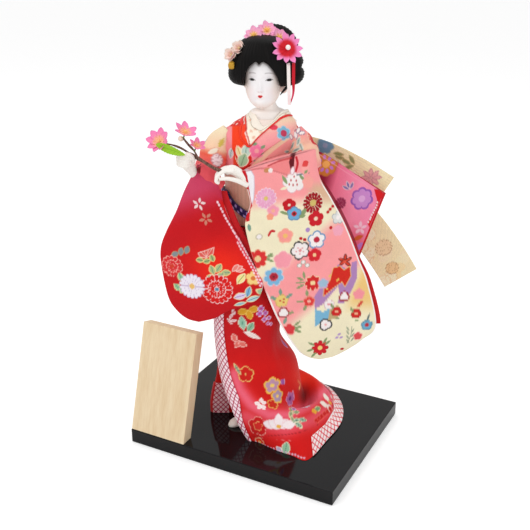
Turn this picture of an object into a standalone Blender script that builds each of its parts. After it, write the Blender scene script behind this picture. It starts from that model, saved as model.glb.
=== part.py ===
"""Kimono doll on a black lacquered board, with a leaning wooden name plate.

All lengths are metres. The doll is modelled facing the photograph's viewer:
X to the viewer's right, Y away from the viewer and Z up from the board's top.
One empty then turns the whole doll to its place on the board.
"""
import math
import bpy
import bmesh
from mathutils import Matrix, Vector

MM = 0.001

# Display board
BASE_WIDTH = 0.270
BASE_DEPTH = 0.2115
BASE_THICK = 0.0183
BASE_EDGE = 0.0010

# Name plate
PLATE_WIDTH = 0.0752
PLATE_HEIGHT = 0.136
PLATE_THICK = 0.0155
PLATE_LEAN = math.radians(16.0)
PLATE_INSET = 0.0008

# Fits
GAP = 0.0003
LAY = 0.0006
CLOTH = 0.0012

# Doll's turn on the board and its inner supports
DOLL_TURN = math.radians(27.46)
ROD_RADIUS = 0.0020
ROD_DEPTH_IN_BASE = 0.012
ROD_HEIGHT = 0.060
CORE_RADIUS = 0.0075
CORE_START = 0.012
NECK_PIN_RADIUS = 0.0022
NECK_PIN_LENGTH = 0.040
CORE_FOOT = Vector((-0.010, 0.000))
CORE_HEAD = Vector((0.001, 0.003))

# Heights above the board's top
SKIRT_TOP = 0.262
OBI_HEIGHT = 0.061
BODICE_HEIGHT = 0.053
COLLAR_THICK = 0.0010
HEAD_HEIGHT = 0.068
CHIN_RISE = 0.014
HEAD_TURN = math.radians(-8.5)

# Sleeves
LEFT_SLEEVE_THICK = 0.016
RIGHT_SLEEVE_THICK = 0.013
SLEEVE_EDGE = 0.0040
LINING_REACH = 0.0045
WING_THICK = 0.0060

# Sash at the back
KNOT_WIDTH = 0.062
KNOT_DEPTH = 0.030
KNOT_HEIGHT = 0.060
TAIL_WIDTH = 0.046
TAIL_THICK = 0.0025
TAIL_PLEAT = 0.0012

# Blossoms and branch
STICK_RADIUS = 0.0013
BIG_FLOWER_RADIUS = 0.0165
PEARL_RADIUS = 0.0026
PINK_FLOWER_RADIUS = 0.0090
PALE_FLOWER_RADIUS = 0.0072
BRANCH_FLOWER_RADIUS = 0.0135
PETAL_THICK = 0.0014


def collection(name):
    found = bpy.data.collections.new(name)
    bpy.context.scene.collection.children.link(found)
    return found


for old in list(bpy.data.objects):
    bpy.data.objects.remove(old, do_unlink=True)
PARTS = collection("kimono_doll")
CUTTERS = collection("cutters")

STAND = bpy.data.objects.new("doll_stand", None)
PARTS.objects.link(STAND)
STAND.location = (0.0, 0.0, BASE_THICK)
STAND.rotation_euler = (0.0, 0.0, DOLL_TURN)


# Materials

def finish(name, colour, roughness, metallic=0.0):
    material = bpy.data.materials.new(name)
    material.use_nodes = True
    shader = material.node_tree.nodes["Principled BSDF"]
    shader.inputs["Base Color"].default_value = (*colour, 1.0)
    shader.inputs["Roughness"].default_value = roughness
    shader.inputs["Metallic"].default_value = metallic
    return material


# Shape helpers

def vectors(points):
    """Points given in millimetres, as vectors in metres."""
    return [Vector(point) * MM for point in points]


def smooth(points, steps, closed=False):
    """A smooth curve through the points, with steps to each stretch."""
    count = len(points)
    curve = []
    for start in range(count if closed else count - 1):
        near = []
        for shift in (-1, 0, 1, 2):
            index = start + shift
            near.append(points[index % count] if closed else points[min(max(index, 0), count - 1)])
        before, first, second, after = near
        for step in range(steps):
            t = step / steps
            curve.append(0.5 * (2.0 * first + (second - before) * t
                                + (2.0 * before - 5.0 * first + 4.0 * second - after) * t * t
                                + (3.0 * first - before - 3.0 * second + after) * t * t * t))
    if not closed:
        curve.append(points[-1])
    return curve


def blend_rows(rows, height):
    """The numbers of a table of rows at a height, read along its first column."""
    for low, high in zip(rows, rows[1:]):
        if height <= high[0]:
            share = (height - low[0]) / (high[0] - low[0])
            return [a + (b - a) * share for a, b in zip(low[1:], high[1:])]
    return list(rows[-1][1:])


def new_object(name, mesh, material, home):
    made = bpy.data.objects.new(name, mesh)
    mesh.materials.append(material)
    home.objects.link(made)
    made.parent = STAND
    return made


def from_shape(name, shape, material, home=None):
    bmesh.ops.recalc_face_normals(shape, faces=shape.faces)
    mesh = bpy.data.meshes.new(name)
    shape.to_mesh(mesh)
    shape.free()
    mesh.shade_smooth()
    mesh.set_sharp_from_angle(angle=math.radians(50.0))
    return new_object(name, mesh, material, home or PARTS)


def loft(name, rings, material, ends=True, home=None):
    """A skin over rings of equal count, closed by a face at each end or joined end to end."""
    shape = bmesh.new()
    rows = [[shape.verts.new(point) for point in ring] for ring in rings]
    count = len(rows[0])
    pairs = list(zip(rows, rows[1:]))
    if not ends:
        pairs.append((rows[-1], rows[0]))
    for lower, upper in pairs:
        for index in range(count):
            after = (index + 1) % count
            shape.faces.new((lower[index], lower[after], upper[after], upper[index]))
    if ends:
        shape.faces.new(reversed(rows[0]))
        shape.faces.new(rows[-1])
    return from_shape(name, shape, material, home)


def slab(name, outer, inner, material):
    """A sheet between two grids of equal size, closed along its border."""
    rings = []
    for face_row, back_row in zip(outer, inner):
        rings.append(list(face_row) + list(reversed(back_row)))
    return loft(name, rings, material)


def tube(name, path, radii, material, sides=12, home=None):
    """A round tube along a path, with a radius at each point."""
    rings = []
    side = Vector((0.0, 1.0, 0.0))
    for index, point in enumerate(path):
        ahead = path[min(index + 1, len(path) - 1)] - path[max(index - 1, 0)]
        ahead.normalize()
        side = (side - ahead * side.dot(ahead)).normalized()
        other = ahead.cross(side)
        ring = []
        for corner in range(sides):
            angle = math.tau * corner / sides
            ring.append(point + (side * math.cos(angle) + other * math.sin(angle)) * radii[index])
        rings.append(ring)
    return loft(name, rings, material, home=home)


def ball(name, centre, radii, material, turn=None, home=None, detail=12):
    """A ball or an egg, made from a sphere."""
    shape = bmesh.new()
    place = Matrix.Translation(centre) @ (turn or Matrix()) @ Matrix.Diagonal((*radii, 1.0))
    bmesh.ops.create_uvsphere(shape, u_segments=detail, v_segments=max(detail // 2, 6), radius=1.0, matrix=place)
    return from_shape(name, shape, material, home)


def evaluated_mesh(piece):
    bpy.context.view_layer.update()
    graph = bpy.context.evaluated_depsgraph_get()
    return bpy.data.meshes.new_from_object(piece.evaluated_get(graph))


def grown(piece, gap):
    """A cutter: the piece's finished shape, every face moved out by the gap."""
    shape = bmesh.new()
    shape.from_mesh(evaluated_mesh(piece))
    bmesh.ops.remove_doubles(shape, verts=shape.verts, dist=0.00002)
    shape.normal_update()
    moves = [vert.normal * gap * min(vert.calc_shell_factor(), 2.0) for vert in shape.verts]
    for vert, move in zip(shape.verts, moves):
        vert.co += move
    cutter = from_shape("cut_" + piece.name, shape, piece.data.materials[0], CUTTERS)
    cutter.hide_render = True
    cutter.hide_viewport = False
    cutter.display_type = "WIRE"
    return cutter


def boolean(piece, other, operation):
    step = piece.modifiers.new(operation.lower() + "_" + other.name, "BOOLEAN")
    step.operation = operation
    step.solver = "EXACT"
    step.object = other


def seat(piece, *carriers, gap=GAP):
    """Cuts the piece so that it lies a small gap away from each carrier."""
    for carrier in carriers:
        boolean(piece, grown(carrier, gap), "DIFFERENCE")


def join(piece, *others):
    """Makes one solid of the piece and the others."""
    for other in others:
        PARTS.objects.unlink(other)
        CUTTERS.objects.link(other)
        other.hide_render = True
        other.display_type = "WIRE"
        boolean(piece, other, "UNION")


# Finishes

LACQUER = finish("black_lacquer", (0.006, 0.006, 0.007), 0.08)
PALE_WOOD = finish("pale_wood", (0.72, 0.56, 0.33), 0.55)
STEEL = finish("rod_steel", (0.55, 0.55, 0.56), 0.35, 1.0)
CORE_WOOD = finish("core_wood", (0.55, 0.40, 0.24), 0.7)
SKIN = finish("white_skin", (0.86, 0.85, 0.84), 0.4)
HAIR = finish("black_hair", (0.008, 0.008, 0.008), 0.5)
RED_CLOTH = finish("red_silk", (0.62, 0.012, 0.012), 0.6)
PINK_CLOTH = finish("pink_silk", (0.85, 0.27, 0.28), 0.6)
CREAM_CLOTH = finish("cream_silk", (0.86, 0.76, 0.58), 0.6)
MAGENTA_CLOTH = finish("magenta_silk", (0.66, 0.10, 0.22), 0.6)
LATTICE_CLOTH = finish("lattice_silk", (0.80, 0.55, 0.60), 0.6)
GOLD_CLOTH = finish("gold_brocade", (0.82, 0.58, 0.25), 0.45)
TAN_CLOTH = finish("tan_brocade", (0.60, 0.42, 0.27), 0.55)
PURPLE_CORD = finish("purple_cord", (0.07, 0.03, 0.16), 0.6)
PETAL_PINK = finish("pink_petal", (0.88, 0.25, 0.42), 0.6)
PETAL_RED = finish("red_petal", (0.75, 0.03, 0.08), 0.6)
PETAL_PALE = finish("pale_petal", (0.88, 0.62, 0.60), 0.6)
PEARL = finish("pearl", (0.88, 0.86, 0.82), 0.2)
BARK = finish("brown_stick", (0.20, 0.10, 0.06), 0.7)
LEAF = finish("green_leaf", (0.22, 0.50, 0.05), 0.6)
COMB = finish("ochre_comb", (0.55, 0.35, 0.05), 0.4)


# Board with a blind hole for the rod

def display_base():
    bpy.ops.mesh.primitive_cube_add(size=1.0, location=(0.0, 0.0, BASE_THICK / 2.0))
    board = bpy.context.object
    board.name = "display_base"
    board.data.transform(Matrix.Diagonal((BASE_WIDTH, BASE_DEPTH, BASE_THICK, 1.0)))
    board.data.materials.append(LACQUER)
    for home in list(board.users_collection):
        home.objects.unlink(board)
    PARTS.objects.link(board)
    rounding = board.modifiers.new("edges", "BEVEL")
    rounding.width = BASE_EDGE
    rounding.segments = 2
    return board


def name_plate():
    """The plate's side outline, cut flat at the foot, drawn across its width."""
    rise = Vector((math.sin(PLATE_LEAN), math.cos(PLATE_LEAN))) * PLATE_HEIGHT
    through = Vector((math.cos(PLATE_LEAN), -math.sin(PLATE_LEAN))) * PLATE_THICK
    foot_depth = PLATE_THICK / math.cos(PLATE_LEAN)
    outline = [Vector((0.0, 0.0)), Vector((foot_depth, 0.0)), rise + through, rise]
    curve = bpy.data.curves.new("name_plate", "CURVE")
    curve.dimensions = "2D"
    curve.fill_mode = "BOTH"
    curve.extrude = PLATE_WIDTH / 2.0
    line = curve.splines.new("POLY")
    line.points.add(len(outline) - 1)
    for point, corner in zip(line.points, outline):
        point.co = (corner.x, corner.y, 0.0, 1.0)
    line.use_cyclic_u = True
    curve.materials.append(PALE_WOOD)
    plate = bpy.data.objects.new("name_plate", curve)
    PARTS.objects.link(plate)
    left = -BASE_WIDTH / 2.0 + PLATE_INSET
    front = -BASE_DEPTH / 2.0 + PLATE_INSET
    plate.location = (left + PLATE_WIDTH / 2.0, front, BASE_THICK + GAP)
    plate.rotation_euler = (math.radians(90.0), 0.0, math.radians(90.0))
    return plate


# Supports inside the doll

def core_line(height):
    """The core's centre at a height above the board."""
    share = height / (SKIRT_TOP + OBI_HEIGHT + BODICE_HEIGHT)
    centre = CORE_FOOT.lerp(CORE_HEAD, share)
    return Vector((centre.x, centre.y, height))


def supports():
    core_end = SKIRT_TOP + OBI_HEIGHT + BODICE_HEIGHT - 2.0 * GAP
    pin_ends = [core_line(core_end + half * NECK_PIN_LENGTH) for half in (-0.5, 0.5)]
    pin = tube("neck_pin", pin_ends, [NECK_PIN_RADIUS] * 2, CORE_WOOD, 10)
    rod_ends = [core_line(-ROD_DEPTH_IN_BASE), core_line(ROD_HEIGHT)]
    rod = tube("support_rod", rod_ends, [ROD_RADIUS] * 2, STEEL, 10)
    core = tube("body_core", [core_line(CORE_START), core_line(core_end)], [CORE_RADIUS] * 2, CORE_WOOD, 14)
    seat(core, rod, pin)
    return pin, rod, core


# Skirt: rails from the waist to the hem, in millimetres, with the heights for a waist at 262

SKIRT_RAILS = (
    # front edge, then round by the viewer's right
    ((-46, -16, 262), (-58, -20, 205), (-62, -20, 148), (-61, -20, 112), (-57, -25, 80),
     (-50, -33, 56), (-43, -42, 40), (-34, -50, 20), (-23, -54, 0.4)),
    ((-36, -25, 262), (-47, -31, 205), (-51, -32, 148), (-49, -33, 112), (-44, -37, 80),
     (-36, -44, 58), (-29, -51, 43), (-20, -58, 22), (-10, -62, 0.4)),
    ((-17, -28, 262), (-20, -35, 205), (-22, -37, 148), (-20, -38, 112), (-16, -41, 82),
     (-10, -46, 56), (-5, -57, 44), (1, -66, 20), (8, -76, 0.4)),
    ((1, -26, 262), (3, -32, 205), (1, -34, 148), (2, -34, 112), (9, -36, 80),
     (14, -37, 46), (20, -54, 38), (24, -72, 17), (28, -88, 0.4)),
    ((12, -21, 262), (15, -25, 205), (11, -26, 148), (10, -24, 110), (22, -24, 79),
     (30, -21, 26), (43, -39, 32), (45, -72, 13), (46, -97, 0.4)),
    ((17, -15, 262), (21, -17, 205), (15, -17, 148), (14, -15, 110), (31, -12, 78),
     (41, -7, 15), (57, -19, 27), (64, -48, 11), (67, -64, 0.4)),
    ((20, -7, 262), (24, -8, 205), (17, -8, 148), (16, -5, 110), (35, 2, 79),
     (48, 10, 14), (66, 3, 23), (82, -10, 9), (92, -16, 0.4)),
    ((21, 4, 262), (25, 6, 205), (18, 6, 148), (15, 8, 110), (34, 15, 80),
     (46, 24, 24), (62, 33, 32), (82, 34, 13), (94, 33, 0.4)),
    ((15, 17, 262), (19, 21, 205), (13, 22, 148), (14, 25, 110), (24, 34, 82),
     (34, 43, 46), (46, 53, 35), (60, 67, 14), (72, 80, 0.4)),
    ((0, 26, 262), (1, 32, 205), (-1, 34, 148), (-1, 39, 112), (3, 49, 82),
     (9, 59, 57), (15, 69, 37), (23, 80, 16), (29, 90, 0.4)),
    ((-19, 27, 262), (-21, 34, 205), (-23, 36, 148), (-23, 41, 112), (-21, 47, 82),
     (-20, 53, 56), (-20, 59, 37), (-20, 65, 16), (-20, 71, 0.4)),
    ((-38, 20, 262), (-43, 25, 205), (-47, 25, 148), (-48, 28, 112), (-50, 31, 82),
     (-51, 34, 56), (-52, 37, 37), (-53, 40, 16), (-54, 42, 0.4)),
    ((-47, 7, 262), (-56, 7, 205), (-60, 7, 148), (-60, 7, 112), (-61, 8, 82),
     (-64, 9, 54), (-68, 9, 34), (-71, 9.5, 15), (-71, 9.5, 0.4)),
    ((-49, -2, 262), (-58, -4, 205), (-62, -5, 148), (-60, -5, 112), (-52, -4, 82),
     (-45, 0, 55), (-41, 2, 36), (-39, 3, 16), (-38, 3, 0.4)),
    ((-48, -9, 262), (-59, -12, 205), (-62.5, -13, 148), (-60, -14, 112), (-53, -17, 80),
     (-40, -21, 55), (-30, -26, 38), (-22, -31, 18), (-16, -35, 0.4)),
)
RAIL_TOP = 262.0
ROW_STEPS = 2
COLUMN_STEPS = 3


def skirt_grid():
    """Points of the skirt's outer face: a ring for each row, from the hem up."""
    stretch = SKIRT_TOP / (RAIL_TOP * MM)
    rails = []
    for rail in SKIRT_RAILS:
        points = [Vector((x, y, z * stretch)) * MM for x, y, z in rail]
        rails.append(smooth(points, ROW_STEPS))
    rows = []
    for row in range(len(rails[0])):
        rows.append(smooth([rail[row] for rail in rails], COLUMN_STEPS, closed=True))
    return list(reversed(rows))


def grid_normal(grid, row, column):
    across = grid[row][(column + 1) % len(grid[row])] - grid[row][column - 1]
    upward = grid[min(row + 1, len(grid) - 1)][column] - grid[max(row - 1, 0)][column]
    return across.cross(upward).normalized()


def above_board(point):
    return Vector((point.x, point.y, max(point.z, GAP)))


def overlay(name, grid, columns, rows, material):
    """A strip of cloth that lies on the skirt over a range of its columns and rows."""
    outer = []
    inner = []
    for row in rows:
        outer.append([above_board(grid[row][c] + grid_normal(grid, row, c) * (LAY + CLOTH)) for c in columns])
        inner.append([above_board(grid[row][c] + grid_normal(grid, row, c) * LAY) for c in columns])
    return slab(name, outer, inner, material)


def skirt(core, rod):
    grid = skirt_grid()
    body = loft("kimono_skirt", grid, RED_CLOTH)
    seat(body, core, rod)
    edge = overlay("lattice_front_edge", grid, range(0, COLUMN_STEPS + 1), range(0, 12), LATTICE_CLOTH)
    overlay("lattice_hem_band", grid, range(4 * COLUMN_STEPS + 1, 8 * COLUMN_STEPS), range(0, 3), LATTICE_CLOTH)
    overlay("under_hem", grid, range(12 * COLUMN_STEPS, 13 * COLUMN_STEPS), range(0, 6), LATTICE_CLOTH)
    return body, edge


# Trunk: height above the skirt's top, centre and half sizes, in millimetres

TRUNK = (
    (0.0, -14.0, 0.0, 34.0, 26.5),
    (30.0, -14.0, 0.0, 34.5, 26.5),
    (61.0, -13.5, 0.0, 35.5, 27.5),
    (78.0, -12.0, 0.0, 38.0, 29.0),
    (93.0, -10.0, 0.0, 42.0, 28.5),
    (104.0, -7.0, 1.0, 42.0, 25.0),
    (114.0, -2.0, 2.0, 31.0, 20.0),
    (120.0, 1.0, 3.0, 23.5, 17.0),
    (126.0, 2.0, 3.5, 19.0, 15.5),
    (132.0, 2.0, 4.0, 17.0, 14.5),
)
TRUNK_SIDES = 30
SHOULDER_RISE = TRUNK[-4][0]
TRUNK_CURVE = smooth([Vector(row) for row in TRUNK], 4)


def trunk_point(angle, height, out=0.0):
    """A point of the trunk's skin; the angle is 0 at the front and turns to the viewer's right."""
    place = (height - SKIRT_TOP) * SHOULDER_RISE / (OBI_HEIGHT + BODICE_HEIGHT)
    centre_x, centre_y, half_x, half_y = blend_rows(TRUNK_CURVE, place)
    turn = math.radians(angle)
    x = centre_x * MM + (half_x * MM + out) * math.sin(turn)
    y = centre_y * MM - (half_y * MM + out) * math.cos(turn)
    return Vector((x, y, height))


def trunk_solid(name, low, high, rows, material):
    rings = []
    for row in range(rows + 1):
        height = low + (high - low) * row / rows
        rings.append([trunk_point(360.0 * side / TRUNK_SIDES, height) for side in range(TRUNK_SIDES)])
    return loft(name, rings, material)


def edge_height(edge, angle):
    """Height of a collar or cord edge at an angle, read round a closed table."""
    turn = angle % 360.0
    table = sorted((a % 360.0, h) for a, h in edge)
    table = [(table[-1][0] - 360.0, table[-1][1])] + table + [(table[0][0] + 360.0, table[0][1])]
    return blend_rows(table, turn)[0]


def trunk_band(name, upper, lower, out, thick, material, steps=1):
    """A band round the trunk or neck between two edges, given as heights above the sash's foot."""
    angles = []
    angle = -180.0
    while angle < 180.0:
        angles.append(angle)
        angle += 6.0 if -36.0 <= angle < 36.0 else 360.0 / TRUNK_SIDES
    rise = (OBI_HEIGHT + BODICE_HEIGHT) / SHOULDER_RISE
    rings = []
    for angle in angles:
        high = SKIRT_TOP + edge_height(upper, angle) * rise
        low = SKIRT_TOP + edge_height(lower, angle) * rise
        outer = []
        inner = []
        for step in range(steps + 1):
            height = low + (high - low) * step / steps
            inner.append(trunk_point(angle, height, out))
            outer.append(trunk_point(angle, height, out + thick))
        rings.append(inner + list(reversed(outer)))
    return loft(name, rings, material, ends=False)


def lowered(edge, drop):
    return [(angle, height - drop) for angle, height in edge]


NECK_EDGE = ((0, 112), (14, 118), (40, 123.5), (90, 127), (180, 129), (270, 127), (315, 123.5), (340, 118))
INNER_EDGE = ((357, 105), (13, 113), (40, 119.5), (90, 124), (180, 126), (270, 124), (315, 119), (338, 112))
WIDE_EDGE = ((347, 92), (357, 99), (9, 108), (41, 117), (90, 120.5), (180, 122.5), (270, 120), (308, 115.5),
             (325, 108), (338, 98))
KIMONO_EDGE = ((341, 68), (350, 74), (10, 88), (38, 102), (60, 110), (90, 114), (180, 116), (270, 113),
               (296, 107), (318, 90), (332, 70))
CORD_EDGE = ((0, 15), (60, 12), (120, 16), (180, 24), (240, 34), (270, 39), (300, 38), (320, 27), (343, 18))
CORD_HEIGHT = 6.0
CORD_THICK = 0.0026
PIPING_HEIGHT = 1.7


def trunk(core, pin):
    obi = trunk_solid("sash_band", SKIRT_TOP + GAP, SKIRT_TOP + OBI_HEIGHT, 3, TAN_CLOTH)
    bodice = trunk_solid("kimono_bodice", SKIRT_TOP + OBI_HEIGHT + GAP,
                         SKIRT_TOP + OBI_HEIGHT + BODICE_HEIGHT, 8, PINK_CLOTH)
    seat(obi, core)
    seat(bodice, core, pin)
    touch = GAP / MM
    trunk_band("inner_collar", NECK_EDGE, INNER_EDGE, LAY, COLLAR_THICK, CREAM_CLOTH)
    trunk_band("embroidered_collar", lowered(INNER_EDGE, touch), WIDE_EDGE, LAY, COLLAR_THICK, CREAM_CLOTH, 2)
    piping_top = lowered(WIDE_EDGE, touch)
    piping_foot = lowered(piping_top, PIPING_HEIGHT)
    trunk_band("collar_piping", piping_top, piping_foot, LAY, 1.5 * COLLAR_THICK, RED_CLOTH)
    trunk_band("kimono_collar", lowered(piping_foot, touch), KIMONO_EDGE, LAY, 1.2 * COLLAR_THICK, PINK_CLOTH, 4)
    cord = trunk_band("sash_cord", CORD_EDGE, lowered(CORD_EDGE, CORD_HEIGHT), LAY, CORD_THICK, PURPLE_CORD)
    return obi, bodice, cord


# Head, with its neck

HEAD_CENTRE = Vector((-5.0, 1.0, 0.0)) * MM
HEAD_ROWS = (
    (0.0, 6.5, 17.0, -0.8), (2.2, 10.5, 19.0, 1.0), (8.0, 14.8, 20.3, 8.0), (17.0, 18.2, 21.0, 14.0),
    (26.0, 19.8, 21.0, 18.0), (36.0, 20.5, 21.0, 21.0), (46.0, 20.5, 20.5, 22.0), (56.0, 18.0, 17.5, 20.0),
    (63.5, 12.0, 11.5, 14.0), (68.0, 4.0, 4.0, 5.0),
)
NECK_ROWS = ((0.4, 2.0, 4.0, 14.5, 12.5), (5.0, 1.0, 3.5, 11.0, 10.5), (11.0, 0.0, 3.0, 9.6, 9.6),
             (26.0, -2.0, 3.0, 9.4, 9.4))
NECK_SIDES = 14

# Where the head is sampled: heights above the chin, and angles from the middle of the face
HEAD_HEIGHTS = (0.0, 2.2, 5.5, 9.0, 13.0, 17.2, 20.6, 22.6, 27.0, 31.0, 35.0, 40.0, 46.0, 56.0, 63.5, 68.0)
HEAD_ANGLES = (-150, -125, -100, -75, -55, -40, -28, -19, -11, -5, 0,
               5, 11, 19, 28, 40, 55, 75, 100, 125, 150, 180)

# Each feature's angle and height, its width and height, and how far it stands out, in degrees and millimetres
FACE_RELIEF = (
    (0.0, 22.8, 6.0, 2.2, 2.7),      # tip of the nose
    (0.0, 28.5, 5.0, 5.0, 1.5),      # its bridge
    (26.0, 35.0, 13.0, 3.8, -1.3),   # hollow of the right eye
    (-26.0, 35.0, 13.0, 3.8, -1.3),  # hollow of the left eye
    (0.0, 17.2, 9.0, 2.0, 1.1),      # lips
    (0.0, 12.7, 13.0, 1.8, -0.6),    # dip below the lips
    (0.0, 6.5, 15.0, 3.8, 1.3),      # chin
    (33.0, 20.0, 15.0, 7.0, 0.8),    # cheeks
    (-33.0, 20.0, 15.0, 7.0, 0.8),
)


def shoulder_height():
    return SKIRT_TOP + OBI_HEIGHT + BODICE_HEIGHT


def face_relief(angle, height):
    """How far the face stands out from the plain egg of the head, in millimetres."""
    out = 0.0
    for at_angle, at_height, wide, tall, amount in FACE_RELIEF:
        away = ((angle - at_angle) / wide) ** 2 + ((height - at_height) / tall) ** 2
        out += amount * math.exp(-away)
    return out


def head_form():
    turn = Matrix.Rotation(HEAD_TURN, 4, "Z")
    chin = shoulder_height() + CHIN_RISE
    curve = smooth([Vector(row) for row in HEAD_ROWS], 4)
    rings = []
    for height in HEAD_HEIGHTS:
        half, front, back = blend_rows(curve, height)
        rise = height / HEAD_ROWS[-1][0] * HEAD_HEIGHT
        ring = []
        for angle in HEAD_ANGLES:
            ahead = math.cos(math.radians(angle))
            reach = front + face_relief(angle, height) if ahead > 0.0 else back
            point = turn @ Vector((half * math.sin(math.radians(angle)), -reach * ahead, 0.0)) * MM
            ring.append(HEAD_CENTRE + point + Vector((0.0, 0.0, chin + rise)))
        rings.append(ring)
    return loft("head", rings, SKIN)


def neck_form():
    rings = []
    for height, centre_x, centre_y, half_x, half_y in NECK_ROWS:
        ring = []
        for side in range(NECK_SIDES):
            angle = math.tau * side / NECK_SIDES
            ring.append(Vector((centre_x + half_x * math.sin(angle), centre_y - half_y * math.cos(angle),
                                height)) * MM + Vector((0.0, 0.0, shoulder_height())))
        rings.append(ring)
    return loft("neck", rings, SKIN)


def head(pin):
    made = head_form()
    join(made, neck_form())
    seat(made, pin)
    return made


# Hair: rows of height above the chin, centre and half sizes, in millimetres

HAIR_ROWS = (
    (21.5, -2.0, 14.0, 30.0, 22.0), (24.5, -2.0, 11.0, 37.0, 29.0), (33.0, -2.0, 9.0, 40.5, 31.0),
    (45.0, -2.0, 9.0, 40.5, 32.0), (56.0, -2.0, 9.0, 38.0, 32.5), (65.0, -3.0, 8.0, 32.0, 30.0),
    (72.0, -4.0, 6.5, 24.0, 25.0), (76.5, -5.0, 5.0, 13.5, 15.0), (78.0, -5.0, 5.0, 5.0, 6.0),
)
FACE_OPENING = (
    (-25.5, 5), (-25.8, 24), (-25.2, 33), (-21.5, 43), (-17.0, 49.5), (-13.6, 53.0), (-11.3, 52.5), (-9.4, 49.7),
    (-7.0, 52.5), (-4.6, 53.2), (0.5, 50.0), (5.5, 44.0), (10.5, 36.0), (13.2, 28.0), (14.0, 18.0), (14.0, 5),
)
HAIR_SIDES = 24


def egg_ring(height, centre_x, centre_y, half_x, half_y, base, power=2.3):
    ring = []
    for side in range(HAIR_SIDES):
        angle = math.tau * side / HAIR_SIDES
        sine = math.copysign(abs(math.sin(angle)) ** (2.0 / power), math.sin(angle))
        cosine = math.copysign(abs(math.cos(angle)) ** (2.0 / power), math.cos(angle))
        ring.append(Vector((centre_x + half_x * sine, centre_y - half_y * cosine, height)) * MM
                    + Vector((0.0, 0.0, base)))
    return ring


def hair(head_piece):
    chin = shoulder_height() + CHIN_RISE
    made = loft("hair", [egg_ring(*row, chin) for row in HAIR_ROWS], HAIR)
    front = [Vector((x * MM, -0.060, chin + z * MM)) for x, z in FACE_OPENING]
    back = [Vector((x * MM, -0.002, chin + z * MM)) for x, z in FACE_OPENING]
    opening = loft("cut_face_opening", [front, back], HAIR, home=CUTTERS)
    opening.hide_render = True
    opening.display_type = "WIRE"
    boolean(made, opening, "DIFFERENCE")
    seat(made, head_piece)
    return made


BAND_ARC = ((-31, 15, 61), (-22, 14, 71), (-8, 14, 77.5), (4, 14, 79), (16, 15, 75), (27, 17, 65))
BAND_RADIUS = 0.0034
TOPKNOT_PLACE = (6.0, 31.0, 58.0)
TOPKNOT_RADII = (28.0, 16.0, 28.5)
COMB_PLACE = (-38.5, -6.0, 48.0)
COMB_RADII = (4.0, 6.5, 4.5)


def hair_dressing(hair_piece, head_piece):
    """Ribbon and topknot behind the front roll, and the comb at the side."""
    chin = shoulder_height() + CHIN_RISE
    lift = Vector((0.0, 0.0, chin))
    arc = [point + lift for point in smooth(vectors(BAND_ARC), 2)]
    ribbon = tube("hair_ribbon", arc, [BAND_RADIUS] * len(arc), RED_CLOTH, 10)
    seat(ribbon, hair_piece)
    knot = ball("topknot", Vector(TOPKNOT_PLACE) * MM + lift, vectors((TOPKNOT_RADII,))[0], HAIR, detail=16)
    seat(knot, hair_piece, ribbon, head_piece)
    comb = ball("side_comb", Vector(COMB_PLACE) * MM + lift, vectors((COMB_RADII,))[0], COMB)
    seat(comb, hair_piece)
    return ribbon, knot


# Sleeves: each row gives the two ends of a line across the panel as X and Z, then its thickness share

BULGE_SHARE = 0.35
SLEEVE_FOLDS = 2.5
FOLD_LEAN = 2.2
FOLD_SHARE = 0.09
FOLD_FADE = 0.6


class Panel:
    """A flat bag of cloth between two outlines, bulging towards the viewer."""

    def __init__(self, rows, depth, thick, edge, steps=2, folds=0.0):
        lift = SKIRT_TOP / MM - RAIL_TOP
        raised = [Vector((x1, z1 + lift, x2, z2 + lift, share)) for x1, z1, x2, z2, share in rows]
        self.rows = smooth(raised, steps)
        self.depth = depth
        self.thick = thick
        self.edge = edge
        self.folds = folds

    def point(self, row, across, back, reach=0.0):
        x1, z1, x2, z2, share = self.rows[row]
        part = min(across, 1.0)
        x = (x1 + (x2 - x1) * part) * MM + (reach if across > 1.0 else 0.0)
        z = (z1 + (z2 - z1) * part) * MM
        swell = math.sin(math.pi * part) ** 0.7 if 0.0 < part < 1.0 else 0.0
        extra = max(self.thick * share - self.edge, 0.0) * swell
        y = self.depth(x) - BULGE_SHARE * extra
        if back:
            y += self.edge + extra
        elif self.folds:
            down = row / (len(self.rows) - 1)
            wave = math.sin(math.tau * self.folds * part + FOLD_LEAN * down)
            y += self.thick * FOLD_SHARE * wave * swell * (1.0 - FOLD_FADE * down)
        return Vector((x, y, z))

    def solid(self, name, material, columns=8):
        shares = [column / columns for column in range(columns + 1)]
        front = [[self.point(row, share, False) for share in shares] for row in range(len(self.rows))]
        back = [[self.point(row, share, True) for share in shares] for row in range(len(self.rows))]
        return slab(name, back, front, material)

    def lining(self, name, material, first, last, start, reach, thick):
        """A thin sheet against the panel's back that shows past its far edge."""
        shares = [start, start + 0.1, 1.0 - 0.1, 1.0, 1.01]
        shift = Vector((0.0, LAY, 0.0))
        sheet = Vector((0.0, thick, 0.0))
        near = []
        for row in range(first, last):
            near.append([self.point(row, share, True, reach) + shift for share in shares])
        far = [[point + sheet for point in row] for row in near]
        return slab(name, far, near, material)


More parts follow.
